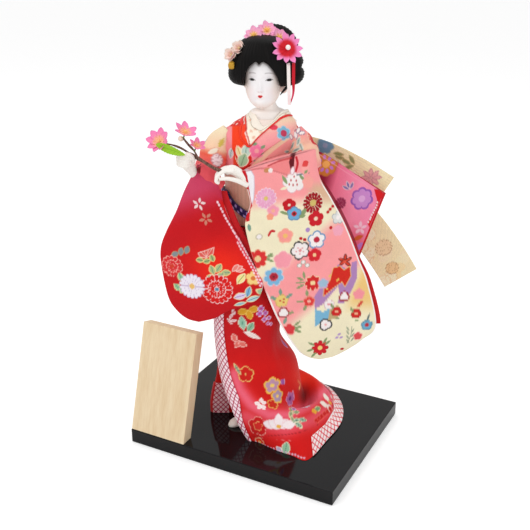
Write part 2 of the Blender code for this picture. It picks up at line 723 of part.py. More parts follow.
LEFT_SLEEVE_ROWS = (
    (-26, 336, 50, 353, 1.25), (-22, 319, 55, 323, 1.3), (-18, 298, 69, 297, 1.2), (-23, 280, 82, 273, 1.1),
    (-22, 264, 92, 251, 1.0), (-14, 230, 103, 223, 1.0), (-2, 194, 115, 193, 0.9), (14, 152, 127, 139, 0.75),
    (34, 116, 111, 120, 0.6), (47, 103, 94, 108, 0.45), (61, 98, 78, 100, 0.3),
)
RIGHT_SLEEVE_ROWS = (
    (-75, 337, -52, 314, 1.2), (-90, 307, -50, 298, 1.1), (-100, 283, -42, 274, 1.0), (-113, 257, -28, 247, 1.0),
    (-120, 237, -16, 224, 1.0), (-120, 214, -7, 205, 0.9), (-114, 178, -11, 186, 0.8), (-105, 162, -25, 175, 0.6),
    (-93, 152, -44, 167, 0.45), (-80, 149, -62, 155, 0.3),
)
WING_ROWS = ((37, 347, 35.5, 301, 1.0), (62, 337, 56, 280, 1.0), (86, 321, 72, 250, 1.0),
             (112, 302, 89, 227, 1.0), (136, 285, 108, 207, 0.9))
WING_LINING_ROWS = ((96, 313, 78, 240, 1.0), (118, 298, 93, 224, 1.0), (140, 283, 112, 206, 0.9))
LEFT_ARM = ((29, 0, 361), (37, -3, 347), (40, -8, 331), (40, -15, 318))
LEFT_ARM_RADII = (11.5, 16.0, 17.0, 15.0)
RIGHT_ARM = ((-43, 0, 360), (-56, -3, 347), (-62, -11, 332), (-69, -22, 323), (-79, -31, 323))
RIGHT_ARM_RADII = (11.5, 15.0, 15.5, 14.0, 13.0)
ARM_STEPS = 3
ARM_SIDES = 12
GATHER_SHARE = 0.07


def left_depth(x):
    return -0.058 + 0.040 * (1.0 - math.exp(-(x + 0.027) / 0.090))


def right_depth(x):
    return -0.029 - 0.021 * (x + 0.120) / 0.110


def wing_depth(x):
    return 0.010 + 0.22 * (x - 0.050)


def arm(name, path, radii, material):
    """The gathered upper sleeve over an arm: every second ring is drawn in."""
    lift = Vector((0.0, 0.0, SKIRT_TOP - RAIL_TOP * MM))
    line = [point + lift for point in smooth(vectors(path), ARM_STEPS)]
    widths = [width.x for width in smooth([Vector((r * MM, 0.0)) for r in radii], ARM_STEPS)]
    gathered = [width * (1.0 - GATHER_SHARE * (index % 2)) for index, width in enumerate(widths)]
    return tube(name, line, gathered, material, ARM_SIDES)


def sleeves(obi, bodice, skirt_piece):
    left = Panel(LEFT_SLEEVE_ROWS, left_depth, LEFT_SLEEVE_THICK, SLEEVE_EDGE, folds=SLEEVE_FOLDS)
    left_sleeve = left.solid("left_sleeve", PINK_CLOTH)
    join(left_sleeve, arm("left_arm", LEFT_ARM, LEFT_ARM_RADII, PINK_CLOTH))
    seat(left_sleeve, bodice, obi)
    left.lining("left_sleeve_lining", RED_CLOTH, 6, 16, 0.7, LINING_REACH, CLOTH)

    wing = Panel(WING_ROWS, wing_depth, WING_THICK, SLEEVE_EDGE)
    wing_piece = wing.solid("left_sleeve_back", MAGENTA_CLOTH, 6)
    seat(wing_piece, left_sleeve)
    wing_back = SLEEVE_EDGE + (1.0 - BULGE_SHARE) * (WING_THICK - SLEEVE_EDGE)
    strip = Panel(WING_LINING_ROWS, lambda x: wing_depth(x) + wing_back + GAP, CLOTH, CLOTH)
    strip.solid("left_sleeve_back_lining", RED_CLOTH, 6)

    right = Panel(RIGHT_SLEEVE_ROWS, right_depth, RIGHT_SLEEVE_THICK, SLEEVE_EDGE, folds=SLEEVE_FOLDS)
    right_sleeve = right.solid("right_sleeve", RED_CLOTH)
    join(right_sleeve, arm("right_arm", RIGHT_ARM, RIGHT_ARM_RADII, MAGENTA_CLOTH))
    seat(right_sleeve, bodice, obi, skirt_piece)
    right_lining = right.lining("right_sleeve_lining", RED_CLOTH, 2, 9, 0.7, LINING_REACH, CLOTH)
    seat(right_lining, right_sleeve, skirt_piece)
    return left_sleeve, right_sleeve, wing_piece


# Sash bow: a knot with a loop at each side, and two long tails that come out of the knot

KNOT_PLACE = Vector((-9.0, 44.0)) * MM
KNOT_RISE = 0.98
LOOP_PLACE = Vector((18.0, -4.5)) * MM
LOOP_RISE = 0.74
LOOP_DROOP = math.radians(16.0)
UPPER_TAIL = ((-12, 55.6, 68), (20, 54.5, 66), (58, 50, 60), (98, 47, 42), (138, 45, 18))
LOWER_TAIL = ((-6, 58.5, 58), (30, 58, 42), (76, 58, 15), (118, 58, -26), (149, 58, -67), (168, 58, -97))
PATH_OBI_HEIGHT = 61.0
TAIL_COLUMNS = 4
TAIL_GATHER_ROWS = 3
TAIL_ROOT_SHARE = 0.42


def tail(name, path, material):
    """A flat band whose width lies square to its path, drawn together in pleats at the knot."""
    lift = Vector((0.0, 0.0, SKIRT_TOP - PATH_OBI_HEIGHT * MM + OBI_HEIGHT))
    line = [point + lift for point in smooth(vectors(path), 2)]
    outer = []
    inner = []
    for index, point in enumerate(line):
        ahead = (line[min(index + 1, len(line) - 1)] - line[max(index - 1, 0)]).normalized()
        spread = min(index / TAIL_GATHER_ROWS, 1.0)
        across = ahead.cross(Vector((0.0, 1.0, 0.0))).normalized() * TAIL_WIDTH / 2.0
        across *= TAIL_ROOT_SHARE + (1.0 - TAIL_ROOT_SHARE) * spread
        thick = Vector((0.0, TAIL_THICK / 2.0, 0.0))
        near = []
        for column in range(TAIL_COLUMNS + 1):
            share = 2.0 * column / TAIL_COLUMNS - 1.0
            pleat = TAIL_PLEAT * (column % 2) * (1.0 - 0.8 * spread)
            near.append(point + across * share + Vector((0.0, pleat, 0.0)))
        outer.append([spot - thick for spot in near])
        inner.append([spot + thick for spot in near])
    return slab(name, outer, inner, material)


def sash_back(obi, bodice, cord):
    centre = Vector((*KNOT_PLACE, SKIRT_TOP + KNOT_RISE * OBI_HEIGHT))
    knot = ball("sash_knot", centre, (KNOT_WIDTH * 0.2, KNOT_DEPTH * 0.66, KNOT_HEIGHT * 0.27), GOLD_CLOTH)
    for side, name in ((-1.0, "bow_loop_left"), (1.0, "bow_loop_right")):
        place = Vector((KNOT_PLACE.x + side * LOOP_PLACE.x, KNOT_PLACE.y + LOOP_PLACE.y,
                        SKIRT_TOP + LOOP_RISE * OBI_HEIGHT))
        turn = Matrix.Rotation(side * LOOP_DROOP, 4, "Y")
        radii = (KNOT_WIDTH * 0.33, KNOT_DEPTH * 0.45, KNOT_HEIGHT * 0.43)
        loop = ball(name, place, radii, GOLD_CLOTH, turn)
        join(knot, loop)
    seat(knot, obi, bodice, cord)
    upper = tail("sash_tail_upper", UPPER_TAIL, GOLD_CLOTH)
    seat(upper, knot)
    lower = tail("sash_tail_lower", LOWER_TAIL, GOLD_CLOTH)
    seat(lower, upper, knot)
    return knot


# Branch, hands and foot

STICK = ((-82, -48, 89), (-70, -54, 83), (-54, -61, 76), (-38, -61, 69))
TWIG = ((-73, -53, 84), (-77, -55, 94), (-83, -55, 101), (-88, -56, 108))
SIDE_TWIG = ((-80, -49, 88), (-90, -52, 96), (-101, -51, 100), (-112, -50, 101))
LEFT_HAND = ((-17, -52, 58), (-28, -55, 68), (-38, -57, 75), (-46, -59, 73), (-52, -61, 66))
LEFT_HAND_RADII = (5.0, 5.6, 7.0, 6.6, 4.5)
RIGHT_HAND = ((-78, -34, 60), (-82, -41, 70), (-86, -46, 80), (-89, -49, 86))
RIGHT_HAND_RADII = (5.4, 6.0, 8.6, 6.0)
LEFT_FINGERS = ((-47, -63, 75), (-55, -66, 65), (1.2, 3.2, 0.4))
RIGHT_FINGERS = ((-90, -53, 86), (-83, -57, 84), (0.6, 0.6, -3.6))
FINGER_RADIUS = 0.0021
FINGERS = 4

# Foot: how far along it, half width and height, in millimetres; then where it starts and how it points
FOOT_ROWS = ((0.0, 5.0, 11.0), (8.0, 6.5, 11.5), (17.0, 7.2, 10.0), (25.0, 6.0, 7.0), (29.5, 2.5, 3.6))
FOOT_START = Vector((-24.0, -14.0, 0.0))
FOOT_AHEAD = Vector((-0.80, -0.42, 0.0))


def branch():
    lift = Vector((0.0, 0.0, SKIRT_TOP))
    pieces = []
    for name, path, share in (("branch", STICK, 1.0), ("twig", TWIG, 0.75), ("side_twig", SIDE_TWIG, 0.75)):
        line = [point + lift for point in smooth(vectors(path), 2)]
        pieces.append(tube(name, line, [STICK_RADIUS * share] * len(line), BARK, 6))
    join(pieces[0], pieces[1], pieces[2])
    return pieces[0]


def hand(name, path, radii, fingers, stick, sleeve):
    """A palm and wrist with curled fingers side by side; fingers gives a knuckle, a tip and their spread."""
    knuckles, tips, spread = fingers
    lift = Vector((0.0, 0.0, SKIRT_TOP))
    line = [point + lift for point in smooth(vectors(path), 2)]
    widths = [width.x for width in smooth([Vector((r * MM, 0.0)) for r in radii], 2)]
    palm = tube(name, line, widths, SKIN, 12)
    for finger in range(FINGERS):
        shift = Vector(spread) * MM * (finger - (FINGERS - 1) / 2.0)
        start = Vector(knuckles) * MM + shift + lift
        end = Vector(tips) * MM + shift + lift
        middle = (start + end) / 2.0 + Vector((-0.0012, -0.0022, 0.0010))
        bend = smooth([start, middle, end], 1)
        join(palm, tube(name + "_finger_" + str(finger + 1), bend, [FINGER_RADIUS] * len(bend), SKIN, 6))
    seat(palm, sleeve, stick)
    return palm


def tabi_foot(skirt_body, edge):
    """The toe of a split-toed sock, flat below, under the lifted hem."""
    rings = []
    for along, half, height in FOOT_ROWS:
        centre = (FOOT_START + FOOT_AHEAD * along) * MM
        side = Vector((-FOOT_AHEAD.y, FOOT_AHEAD.x, 0.0)).normalized()
        ring = []
        for corner in range(14):
            angle = math.tau * corner / 14
            rise = max(math.sin(angle), -0.55) + 0.55
            ring.append(centre + side * half * MM * math.cos(angle)
                        + Vector((0.0, 0.0, GAP + rise / 1.55 * height * MM)))
        rings.append(ring)
    foot = loft("tabi_foot", rings, SKIN)
    seat(foot, skirt_body, edge)
    return foot


# Flowers: a cupped ring of petals with a boss in front and a pin behind

PETAL_SAMPLES = 4
BOSS_RISE = 0.0015
STEM_RADIUS = 0.0009
CUP = 0.0010


def flower(name, centre, facing, radius, petals, pin, material, pointed=0.45):
    facing = Vector(facing).normalized()
    turn = facing.to_track_quat("Z", "Y").to_matrix()
    samples = petals * PETAL_SAMPLES
    rings = []
    outline = (("round", STEM_RADIUS, -pin), ("round", STEM_RADIUS, -PETAL_THICK), ("petal", 0.96, CUP),
               ("petal", 1.0, CUP + PETAL_THICK * 0.6), ("round", radius * 0.22, BOSS_RISE))
    for kind, size, lift in outline:
        ring = []
        for sample in range(samples):
            angle = math.tau * sample / samples
            reach = size
            if kind == "petal":
                wave = abs(math.cos(petals * angle / 2.0)) ** 0.8
                reach = size * radius * (1.0 - pointed + pointed * wave)
            ring.append(centre + turn @ Vector((reach * math.cos(angle), reach * math.sin(angle), lift)))
        rings.append(ring)
    return loft(name, rings, material)


# Each flower's place, in millimetres from the chin, and the way it faces

BIG_FLOWER = ((20.5, -20.0, 69.0), (0.20, -0.90, 0.36))
PINK_FLOWERS = (((-15, 3, 80.5), (-0.25, -0.75, 0.6)), ((-1, 8, 85.5), (0.0, -0.75, 0.65)),
                ((13, 3, 79.5), (0.2, -0.75, 0.6)))
PALE_BLOSSOMS = (((-33, -8, 64.5), (-0.35, -0.8, 0.45)), ((-43, -2, 58.5), (-0.6, -0.7, 0.35)))


def hair_flowers(hair_piece, ribbon, knot):
    chin = shoulder_height() + CHIN_RISE
    lift = Vector((0.0, 0.0, chin))
    big_at = Vector(BIG_FLOWER[0]) * MM + lift
    big_facing = Vector(BIG_FLOWER[1]).normalized()
    big = flower("big_flower", big_at, big_facing, BIG_FLOWER_RADIUS, 10, 0.012, PETAL_RED)
    seat(big, hair_piece)
    pearl_at = big_at + big_facing * (BOSS_RISE + GAP + PEARL_RADIUS)
    ball("flower_pearl", pearl_at, (PEARL_RADIUS,) * 3, PEARL, detail=10)
    for index, (place, facing) in enumerate(PINK_FLOWERS):
        made = flower("pink_flower_" + str(index + 1), Vector(place) * MM + lift, facing,
                      PINK_FLOWER_RADIUS, 5, 0.009, PETAL_PINK)
        seat(made, hair_piece, ribbon, knot)
    for index, (place, facing) in enumerate(PALE_BLOSSOMS):
        made = flower("pale_blossom_" + str(index + 1), Vector(place) * MM + lift, facing,
                      PALE_FLOWER_RADIUS, 5, 0.008, PETAL_PALE)
        seat(made, hair_piece)
    return big


# Hair ribbons, as points from the chin, and their widths

WHITE_RIBBON = ((21, -13, 53), (21.5, -21.5, 49), (22, -22, 30), (22.5, -21, 12), (23, -20, -2))
WHITE_RIBBON_WIDTH = 0.0036
RED_RIBBON = ((27, -9, 53), (27, -19.5, 49), (27, -20, 30), (26.5, -19, 12), (25, -18, -6))
RED_RIBBON_WIDTH = 0.0030


def ribbon_strip(name, path, width, material, hair_piece, flower_piece):
    lift = Vector((0.0, 0.0, shoulder_height() + CHIN_RISE))
    line = [point + lift for point in smooth(vectors(path), 2)]
    half = Vector((width / 2.0, 0.0, 0.0))
    thick = Vector((0.0, 0.0004, 0.0))
    near = [[point - half - thick, point + half - thick] for point in line]
    far = [[point - half + thick, point + half + thick] for point in line]
    strip = slab(name, near, far, material)
    seat(strip, hair_piece, flower_piece)
    return strip


LEAF_PLACE = (-99.0, -54.0, 97.0)
LEAF_RADII = (14.5, 1.1, 4.2)
LEAF_TURN = math.radians(20.0)
BUD_PLACE = (-90.8, -55.2, 107.5)
BUD_RADII = (3.0, 2.8, 2.6)


def branch_flowers(stick, hands):
    lift = Vector((0.0, 0.0, SKIRT_TOP))
    holds = ((SIDE_TWIG[-1], (-0.2, -0.9, 0.4), 1.0, 0.005), (TWIG[-1], (0.4, -0.7, 0.6), 0.9, 0.008),
             (TWIG[1], (0.3, -0.85, 0.35), 0.6, 0.008))
    blossoms = []
    for index, (hold, facing, share, pin) in enumerate(holds):
        place = Vector(hold) * MM + lift + Vector(facing).normalized() * pin
        made = flower("branch_blossom_" + str(index + 1), place, facing, BRANCH_FLOWER_RADIUS * share, 5, pin,
                      PETAL_PINK, 0.35)
        seat(made, stick, *hands)
        blossoms.append(made)
    turn = Matrix.Rotation(LEAF_TURN, 4, "Y")
    leaf = ball("branch_leaf", Vector(LEAF_PLACE) * MM + lift, vectors((LEAF_RADII,))[0], LEAF, turn)
    seat(leaf, stick, blossoms[0], *hands)
    bud = ball("branch_bud", Vector(BUD_PLACE) * MM + lift, vectors((BUD_RADII,))[0], PETAL_PALE, detail=8)
    seat(bud, stick, *blossoms)


# Putting it together

board = display_base()
name_plate()
neck_pin, support_rod, body_core = supports()
seat(board, support_rod)
skirt_piece, front_edge = skirt(body_core, support_rod)
obi_piece, bodice_piece, cord_piece = trunk(body_core, neck_pin)
head_piece = head(neck_pin)
hair_piece = hair(head_piece)
ribbon_piece, knot_piece = hair_dressing(hair_piece, head_piece)
left_sleeve, right_sleeve, wing = sleeves(obi_piece, bodice_piece, skirt_piece)
sash_back(obi_piece, bodice_piece, cord_piece)
stick_piece = branch()
left_hand = hand("left_hand", LEFT_HAND, LEFT_HAND_RADII, LEFT_FINGERS, stick_piece, left_sleeve)
right_hand = hand("right_hand", RIGHT_HAND, RIGHT_HAND_RADII, RIGHT_FINGERS, stick_piece, right_sleeve)
tabi_foot(skirt_piece, front_edge)
big_flower = hair_flowers(hair_piece, ribbon_piece, knot_piece)
ribbon_strip("white_ribbon", WHITE_RIBBON, WHITE_RIBBON_WIDTH, CREAM_CLOTH, hair_piece, big_flower)
ribbon_strip("red_ribbon", RED_RIBBON, RED_RIBBON_WIDTH, RED_CLOTH, hair_piece, big_flower)
branch_flowers(stick_piece, (left_hand, right_hand))
bpy.context.view_layer.update()
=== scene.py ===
"""A kimono doll on its black lacquered board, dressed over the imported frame.

The doll's own frame faces the viewer: x to the viewer's right, y away from the viewer and z up from the
board's top, in millimetres. The function world() takes its points to the frame's metres.
"""
import math
import random
import bpy
import numpy as np
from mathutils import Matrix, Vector

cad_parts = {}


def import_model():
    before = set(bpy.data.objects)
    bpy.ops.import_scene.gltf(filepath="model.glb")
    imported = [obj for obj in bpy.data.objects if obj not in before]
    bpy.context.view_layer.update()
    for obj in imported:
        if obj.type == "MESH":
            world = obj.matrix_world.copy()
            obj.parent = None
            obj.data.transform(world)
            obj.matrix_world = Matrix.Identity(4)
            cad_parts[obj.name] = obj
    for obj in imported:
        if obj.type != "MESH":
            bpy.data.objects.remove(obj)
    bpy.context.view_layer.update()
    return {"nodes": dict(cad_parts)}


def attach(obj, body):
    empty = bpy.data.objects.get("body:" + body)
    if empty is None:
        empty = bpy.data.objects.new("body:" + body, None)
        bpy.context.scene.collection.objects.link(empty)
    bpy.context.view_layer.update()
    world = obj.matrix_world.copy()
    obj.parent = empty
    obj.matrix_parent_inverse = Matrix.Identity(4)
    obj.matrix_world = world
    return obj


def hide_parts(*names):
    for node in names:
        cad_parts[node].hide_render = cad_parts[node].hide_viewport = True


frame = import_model()

BOARD_TOP = 18.3
TURN = math.radians(27.46)
FOCAL_PIXELS = 817.0
IMAGE_SIZE = 530
EYE = Vector((0.40941, -0.79443, 0.58248))
AIM = Vector((-0.00272, -0.00141, 0.22392))
NODES = frame["nodes"]
SENSOR_WIDTH = 36.0
FLOOR_REACH = 30.0
FLOOR_DROP = 0.0004
FLOOR_GLOW = 0.30
ROOM_LEVEL = 0.72


# Frames and projection

TURNED = np.array([[math.cos(TURN), -math.sin(TURN), 0.0], [math.sin(TURN), math.cos(TURN), 0.0], [0.0, 0.0, 1.0]])


def world(points):
    """Doll millimetres to frame metres."""
    moved = np.asarray(points, float) @ TURNED.T
    return (moved + np.array([0.0, 0.0, BOARD_TOP])) * 0.001


VIEW_AHEAD = np.array((AIM - EYE).normalized())
VIEW_RIGHT = np.array(Vector(VIEW_AHEAD).cross(Vector((0.0, 0.0, 1.0))).normalized())
VIEW_UP = np.cross(VIEW_RIGHT, VIEW_AHEAD)


def pixels(places):
    """Frame metres to the photograph's pixels, with the distance along the view."""
    away = np.asarray(places) - np.array(EYE)
    depth = away @ VIEW_AHEAD
    return np.stack((IMAGE_SIZE / 2 + FOCAL_PIXELS * (away @ VIEW_RIGHT) / depth,
                     IMAGE_SIZE / 2 - FOCAL_PIXELS * (away @ VIEW_UP) / depth, depth), axis=-1)


def at_pixel(px, py, y):
    """The doll point in millimetres that shows at a pixel, at a given y."""
    right, down = (px - IMAGE_SIZE / 2) / FOCAL_PIXELS, (py - IMAGE_SIZE / 2) / FOCAL_PIXELS
    ray = VIEW_AHEAD + VIEW_RIGHT * right - VIEW_UP * down
    start = TURNED.T @ (np.array(EYE) * 1000.0 - np.array([0.0, 0.0, BOARD_TOP]))
    ray = TURNED.T @ ray
    return start + ray * (y - start[1]) / ray[1]


# Smooth surfaces

def spline_at(points, t, closed=False):
    """Points of a smooth curve or surface through the given ones, at places counted along the first axis."""
    p = np.asarray(points, float)
    spans = len(p) if closed else len(p) - 1
    start = np.minimum(t.astype(int), spans - 1)
    f = (t - start).reshape(-1, *[1] * (p.ndim - 1))
    near = []
    for shift in (-1, 0, 1, 2):
        index = start + shift
        near.append(p[index % len(p)] if closed else p[np.clip(index, 0, len(p) - 1)])
    a, b, c, d = near
    return 0.5 * (2 * b + (c - a) * f + (2 * a - 5 * b + 4 * c - d) * f ** 2 + (3 * b - a - 3 * c + d) * f ** 3)


def spline(points, count):
    """An even number of steps along a smooth curve or surface."""
    return spline_at(points, np.linspace(0.0, len(points) - 1, count))


def circle(count):
    """Angles of a closed ring, as a row."""
    return np.linspace(0.0, math.tau, count, endpoint=False)[None, :]


def columns(table, count):
    """The first columns of a table, each as an upright one."""
    return [table[:, k][:, None] for k in range(count)]


def linear(colour):
    """A colour of 0 to 255 as the renderer's linear numbers."""
    c = np.asarray(colour, float) / 255.0
    return np.where(c <= 0.04045, c / 12.92, ((c + 0.055) / 1.055) ** 2.4)


def ease(x, low, high):
    t = np.clip((x - low) / (high - low), 0.0, 1.0)
    return t * t * (3.0 - 2.0 * t)


def hill(x, z, at_x, at_z, wide, tall):
    return np.exp(-((x - at_x) / wide) ** 2 - ((z - at_z) / tall) ** 2)


def face_index(rows, cols, closed):
    r, c = np.meshgrid(np.arange(rows - 1), np.arange(cols if closed else cols - 1), indexing="ij")
    after = (c + 1) % cols
    return np.stack((r * cols + c, r * cols + after, (r + 1) * cols + after, (r + 1) * cols + c),
                    axis=-1).reshape(-1, 4)


def set_tint(mesh, tint):
    """Stores a linear colour for each point."""
    rgba = np.ones((len(mesh.vertices), 4), np.float32)
    rgba[:, :3] = tint
    mesh.color_attributes.new("tint", "FLOAT_COLOR", "POINT").data.foreach_set("color", rgba.ravel())


def mesh_object(name, places, faces, material, tint, uv):
    """An object from frame-metre points, with a colour and a map place for each."""
    mesh = bpy.data.meshes.new(name)
    mesh.from_pydata(np.asarray(places).tolist(), [], [tuple(int(i) for i in face) for face in faces])
    mesh.update()
    set_tint(mesh, tint)
    corner = np.empty(len(mesh.loops), np.int32)
    mesh.loops.foreach_get("vertex_index", corner)
    mesh.uv_layers.new(name="map").data.foreach_set("uv", np.asarray(uv, np.float32)[corner].ravel())
    mesh.shade_smooth()
    mesh.materials.append(material)
    made = bpy.data.objects.new(name, mesh)
    bpy.context.scene.collection.objects.link(made)
    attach(made, "root")
    return made


def stands_for(piece, node):
    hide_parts(node)
    return piece


def joined(pieces):
    """One object of several."""
    for other in bpy.context.selected_objects:
        other.select_set(False)
    for piece in pieces:
        piece.select_set(True)
    bpy.context.view_layer.objects.active = pieces[0]
    bpy.ops.object.join()
    return pieces[0]


def sheet(s, name, material, node, ends=True):
    """Turns a surface into the cloth that stands for a node."""
    stands_for(s.object(name, material, ends), node)


class Surface:
    """A grid of points with their normals, pixels and colours, on which prints are painted."""

    def __init__(self, points, closed=False, flip=False, colour=(255, 255, 255)):
        points = np.asarray(points, float)
        self.rows, self.cols = points.shape[:2]
        self.closed = closed
        self.places = world(points.reshape(-1, 3))
        grid = self.places.reshape(self.rows, self.cols, 3)
        along = np.gradient(grid, axis=0)
        if closed:
            across = np.roll(grid, -1, axis=1) - np.roll(grid, 1, axis=1)
        else:
            across = np.gradient(grid, axis=1)
        normal = np.cross(across, along).reshape(-1, 3)
        length = np.linalg.norm(normal, axis=1, keepdims=True)
        self.normals = normal / np.maximum(length, 1e-12) * (-1.0 if flip else 1.0)
        self.flip = flip
        self.pixels = pixels(self.places)
        self.u, self.v = self.pixels[:, 0], self.pixels[:, 1]
        toward = np.array(EYE) - self.places
        toward /= np.linalg.norm(toward, axis=1, keepdims=True)
        self.facing = (self.normals * toward).sum(axis=1)
        self.tint = np.tile(linear(colour), (len(self.places), 1))
        self.local = points.reshape(-1, 3)

    def object(self, name, material, capped_ends=True):
        faces = face_index(self.rows, self.cols, self.closed)
        if self.flip:
            faces = faces[:, ::-1]
        faces = faces.tolist()
        if self.closed and capped_ends:
            last = (self.rows - 1) * self.cols
            faces.append(list(range(self.cols))[::1 if self.flip else -1])
            faces.append(list(range(last, last + self.cols))[::-1 if self.flip else 1])
        r, c = np.meshgrid(np.linspace(0.0, 1.0, self.rows), np.linspace(0.0, 1.0, self.cols), indexing="ij")
        return mesh_object(name, self.places, faces, material, self.tint,
                           np.stack((c.ravel(), r.ravel()), axis=-1))

    def seed(self, px, py):
        """The nearest shown point to a pixel."""
        away = np.hypot(self.u - px, self.v - py)
        close = (away < 1.6) & (self.facing > 0.05)
        if not close.any():
            close = (away < 4.0) & (self.facing > 0.0)
            if not close.any():
                return None
        picks = np.flatnonzero(close)
        depth = self.pixels[picks, 2]
        picks = picks[depth < depth.min() + 0.004]
        return picks[np.argmin(away[picks])]

    def local_at(self, index, reach, turn=0.0):
        """Points near one of the surface's, in its tangent plane, in units of the photograph's pixels."""
        centre = self.places[index]
        normal = self.normals[index]
        near = np.flatnonzero((np.abs(self.places - centre).max(axis=1) < reach)
                              & (self.normals @ normal > 0.15))
        right = VIEW_RIGHT - normal * (VIEW_RIGHT @ normal)
        right /= np.linalg.norm(right)
        up = np.cross(normal, right)
        away = (self.places[near] - centre) / PIXEL
        x, y = away @ right, away @ up
        cos, sin = math.cos(turn), math.sin(turn)
        return near, x * cos + y * sin, -x * sin + y * cos

    def mix(self, where, colour, amount):
        amount = np.clip(amount, 0.0, 1.0)[:, None]
        self.tint[where] = self.tint[where] * (1.0 - amount) + linear(colour) * amount

    def wash(self, colour, amount):
        """Mixes a colour into every point."""
        self.mix(slice(None), colour, amount)

    def ground(self, base, *layers):
        """Colours every point by a base under layers of (colour, amount)."""
        colour = np.asarray(base, float)
        for other, amount in layers:
            colour = colour * (1.0 - amount[:, None]) + np.array(other) * amount[:, None]
        self.tint = linear(colour)


PIXEL = 0.00118
SOFT = 0.35


def inside(distance):
    """Share of colour for a signed distance in pixels, above zero inside."""
    return np.clip(distance / SOFT + 0.5, 0.0, 1.0)


def bloom(surface, px, py, radius, fill, line=None, heart=None, petals=5, depth=0.22, width=0.9, turn=0.0,
          heart_size=0.3, index=None):
    """A flower with round petals: its fill, outline and heart."""
    index = surface.seed(px, py) if index is None else index
    if index is None:
        return
    near, x, y = surface.local_at(index, (radius + 2.0) * PIXEL, turn)
    rho = np.hypot(x, y)
    theta = np.arctan2(x, y)
    wave = np.abs(np.cos(petals * theta / 2.0))
    reach = radius * (1.0 - depth + depth * wave ** 0.6)
    surface.mix(near, fill, inside(reach - rho))
    if line is not None:
        surface.mix(near, line, inside(width * 0.5 - np.abs(reach - rho - width * 0.25)))
    if heart is not None:
        surface.mix(near, heart, inside(radius * heart_size - rho))


def daisy(surface, px, py, radius, fill, line, petals=12, heart=None, layers=2, turn=0.0, index=None,
          heart_size=0.2):
    """A chrysanthemum: rings of narrow petals with pale outlines."""
    index = surface.seed(px, py) if index is None else index
    if index is None:
        return
    near, x, y = surface.local_at(index, (radius + 2.0) * PIXEL, turn)
    rho = np.hypot(x, y)
    theta = np.arctan2(x, y)
    for layer in range(layers):
        size = radius * (1.0 - 0.42 * layer)
        shift = math.pi / petals * layer
        wave = np.abs(np.cos(petals * (theta + shift) / 2.0))
        reach = size * (0.80 + 0.20 * wave ** 0.5)
        surface.mix(near, fill, inside(reach - rho))
        valley = wave * rho * 2.0 / math.sqrt(petals) * 1.2
        surface.mix(near, line, inside(0.55 - valley) * inside(reach - rho) * inside(rho - size * 0.25) * 0.9)
        surface.mix(near, line, inside(0.38 - np.abs(reach - rho)))
    if heart is not None:
        surface.mix(near, heart, inside(radius * heart_size - rho))


def leaf(surface, px, py, length, width, angle, fill, line=None, vein=None, index=None):
    """A pointed leaf, turned by an angle in degrees from the picture's right."""
    index = surface.seed(px, py) if index is None else index
    if index is None:
        return
    near, x, y = surface.local_at(index, (length + 2.0) * PIXEL, math.radians(angle))
    half = np.clip(1.0 - (x / length) ** 2, 0.0, 1.0) * width
    edge = np.where(np.abs(x) < length, half - np.abs(y), -1.0)
    surface.mix(near, fill, inside(edge))
    if line is not None:
        surface.mix(near, line, inside(0.4 - np.abs(edge - 0.2)) * (np.abs(x) < length))
    if vein is not None:
        surface.mix(near, vein, inside(0.3 - np.abs(y)) * (np.abs(x) < length * 0.8))


def spot(surface, px, py, rx, ry, colour, angle=0.0, line=None, index=None, amount=1.0):
    """An ellipse, or a ring of another colour round it."""
    index = surface.seed(px, py) if index is None else index
    if index is None:
        return
    near, x, y = surface.local_at(index, (max(rx, ry) + 2.0) * PIXEL, math.radians(angle))
    scale = np.hypot(x / rx, y / ry)
    edge = (1.0 - scale) * min(rx, ry)
    surface.mix(near, colour, inside(edge) * amount)
    if line is not None:
        surface.mix(near, line, inside(0.4 - np.abs(edge)))


def stroke(surface, points, width, colour, amount=1.0):
    """A line of an even width through pixels."""
    seeds = [surface.seed(px, py) for px, py in points]
    places = [surface.places[s] for s in seeds if s is not None]
    if len(places) < 2:
        return
    places = spline(places, max(len(places) * 5, 2))
    low, high = places.min(axis=0) - 0.004, places.max(axis=0) + 0.004
    near = np.flatnonzero(((surface.places > low) & (surface.places < high)).all(axis=1) & (surface.facing > -0.2))
    best = np.full(len(near), 1e9)
    for start, end in zip(places, places[1:]):
        line = end - start
        share = np.clip((surface.places[near] - start) @ line / max(line @ line, 1e-12), 0.0, 1.0)
        gap = np.linalg.norm(surface.places[near] - start - share[:, None] * line, axis=1)
        best = np.minimum(best, gap)
    surface.mix(near, colour, inside(width / 2.0 - best / PIXEL) * amount)


def segment_gap(x, y, start, end):
    """Distance of points to the line between two places."""
    (ax, ay), (bx, by) = start, end
    run = max((bx - ax) ** 2 + (by - ay) ** 2, 1e-9)
    share = np.clip(((x - ax) * (bx - ax) + (y - ay) * (by - ay)) / run, 0.0, 1.0)
    return np.hypot(x - ax - share * (bx - ax), y - ay - share * (by - ay))


def distance_to(x, y, line):
    """Distance of points to a line of several segments."""
    return np.minimum.reduce([segment_gap(x, y, start, end) for start, end in zip(line, line[1:])])


def signed_distance(x, y, outline):
    """Distance of points to a closed outline, above zero inside it."""
    outline = np.asarray(outline, float)
    crossings = np.zeros(x.shape, int)
    for (ax, ay), (bx, by) in zip(outline, np.roll(outline, -1, axis=0)):
        if ay != by:
            crossings += ((ay > y) != (by > y)) & (x < (bx - ax) * (y - ay) / (by - ay) + ax)
    gap = distance_to(x, y, np.concatenate((outline, outline[:1])))
    return np.where(crossings % 2 == 1, gap, -gap)


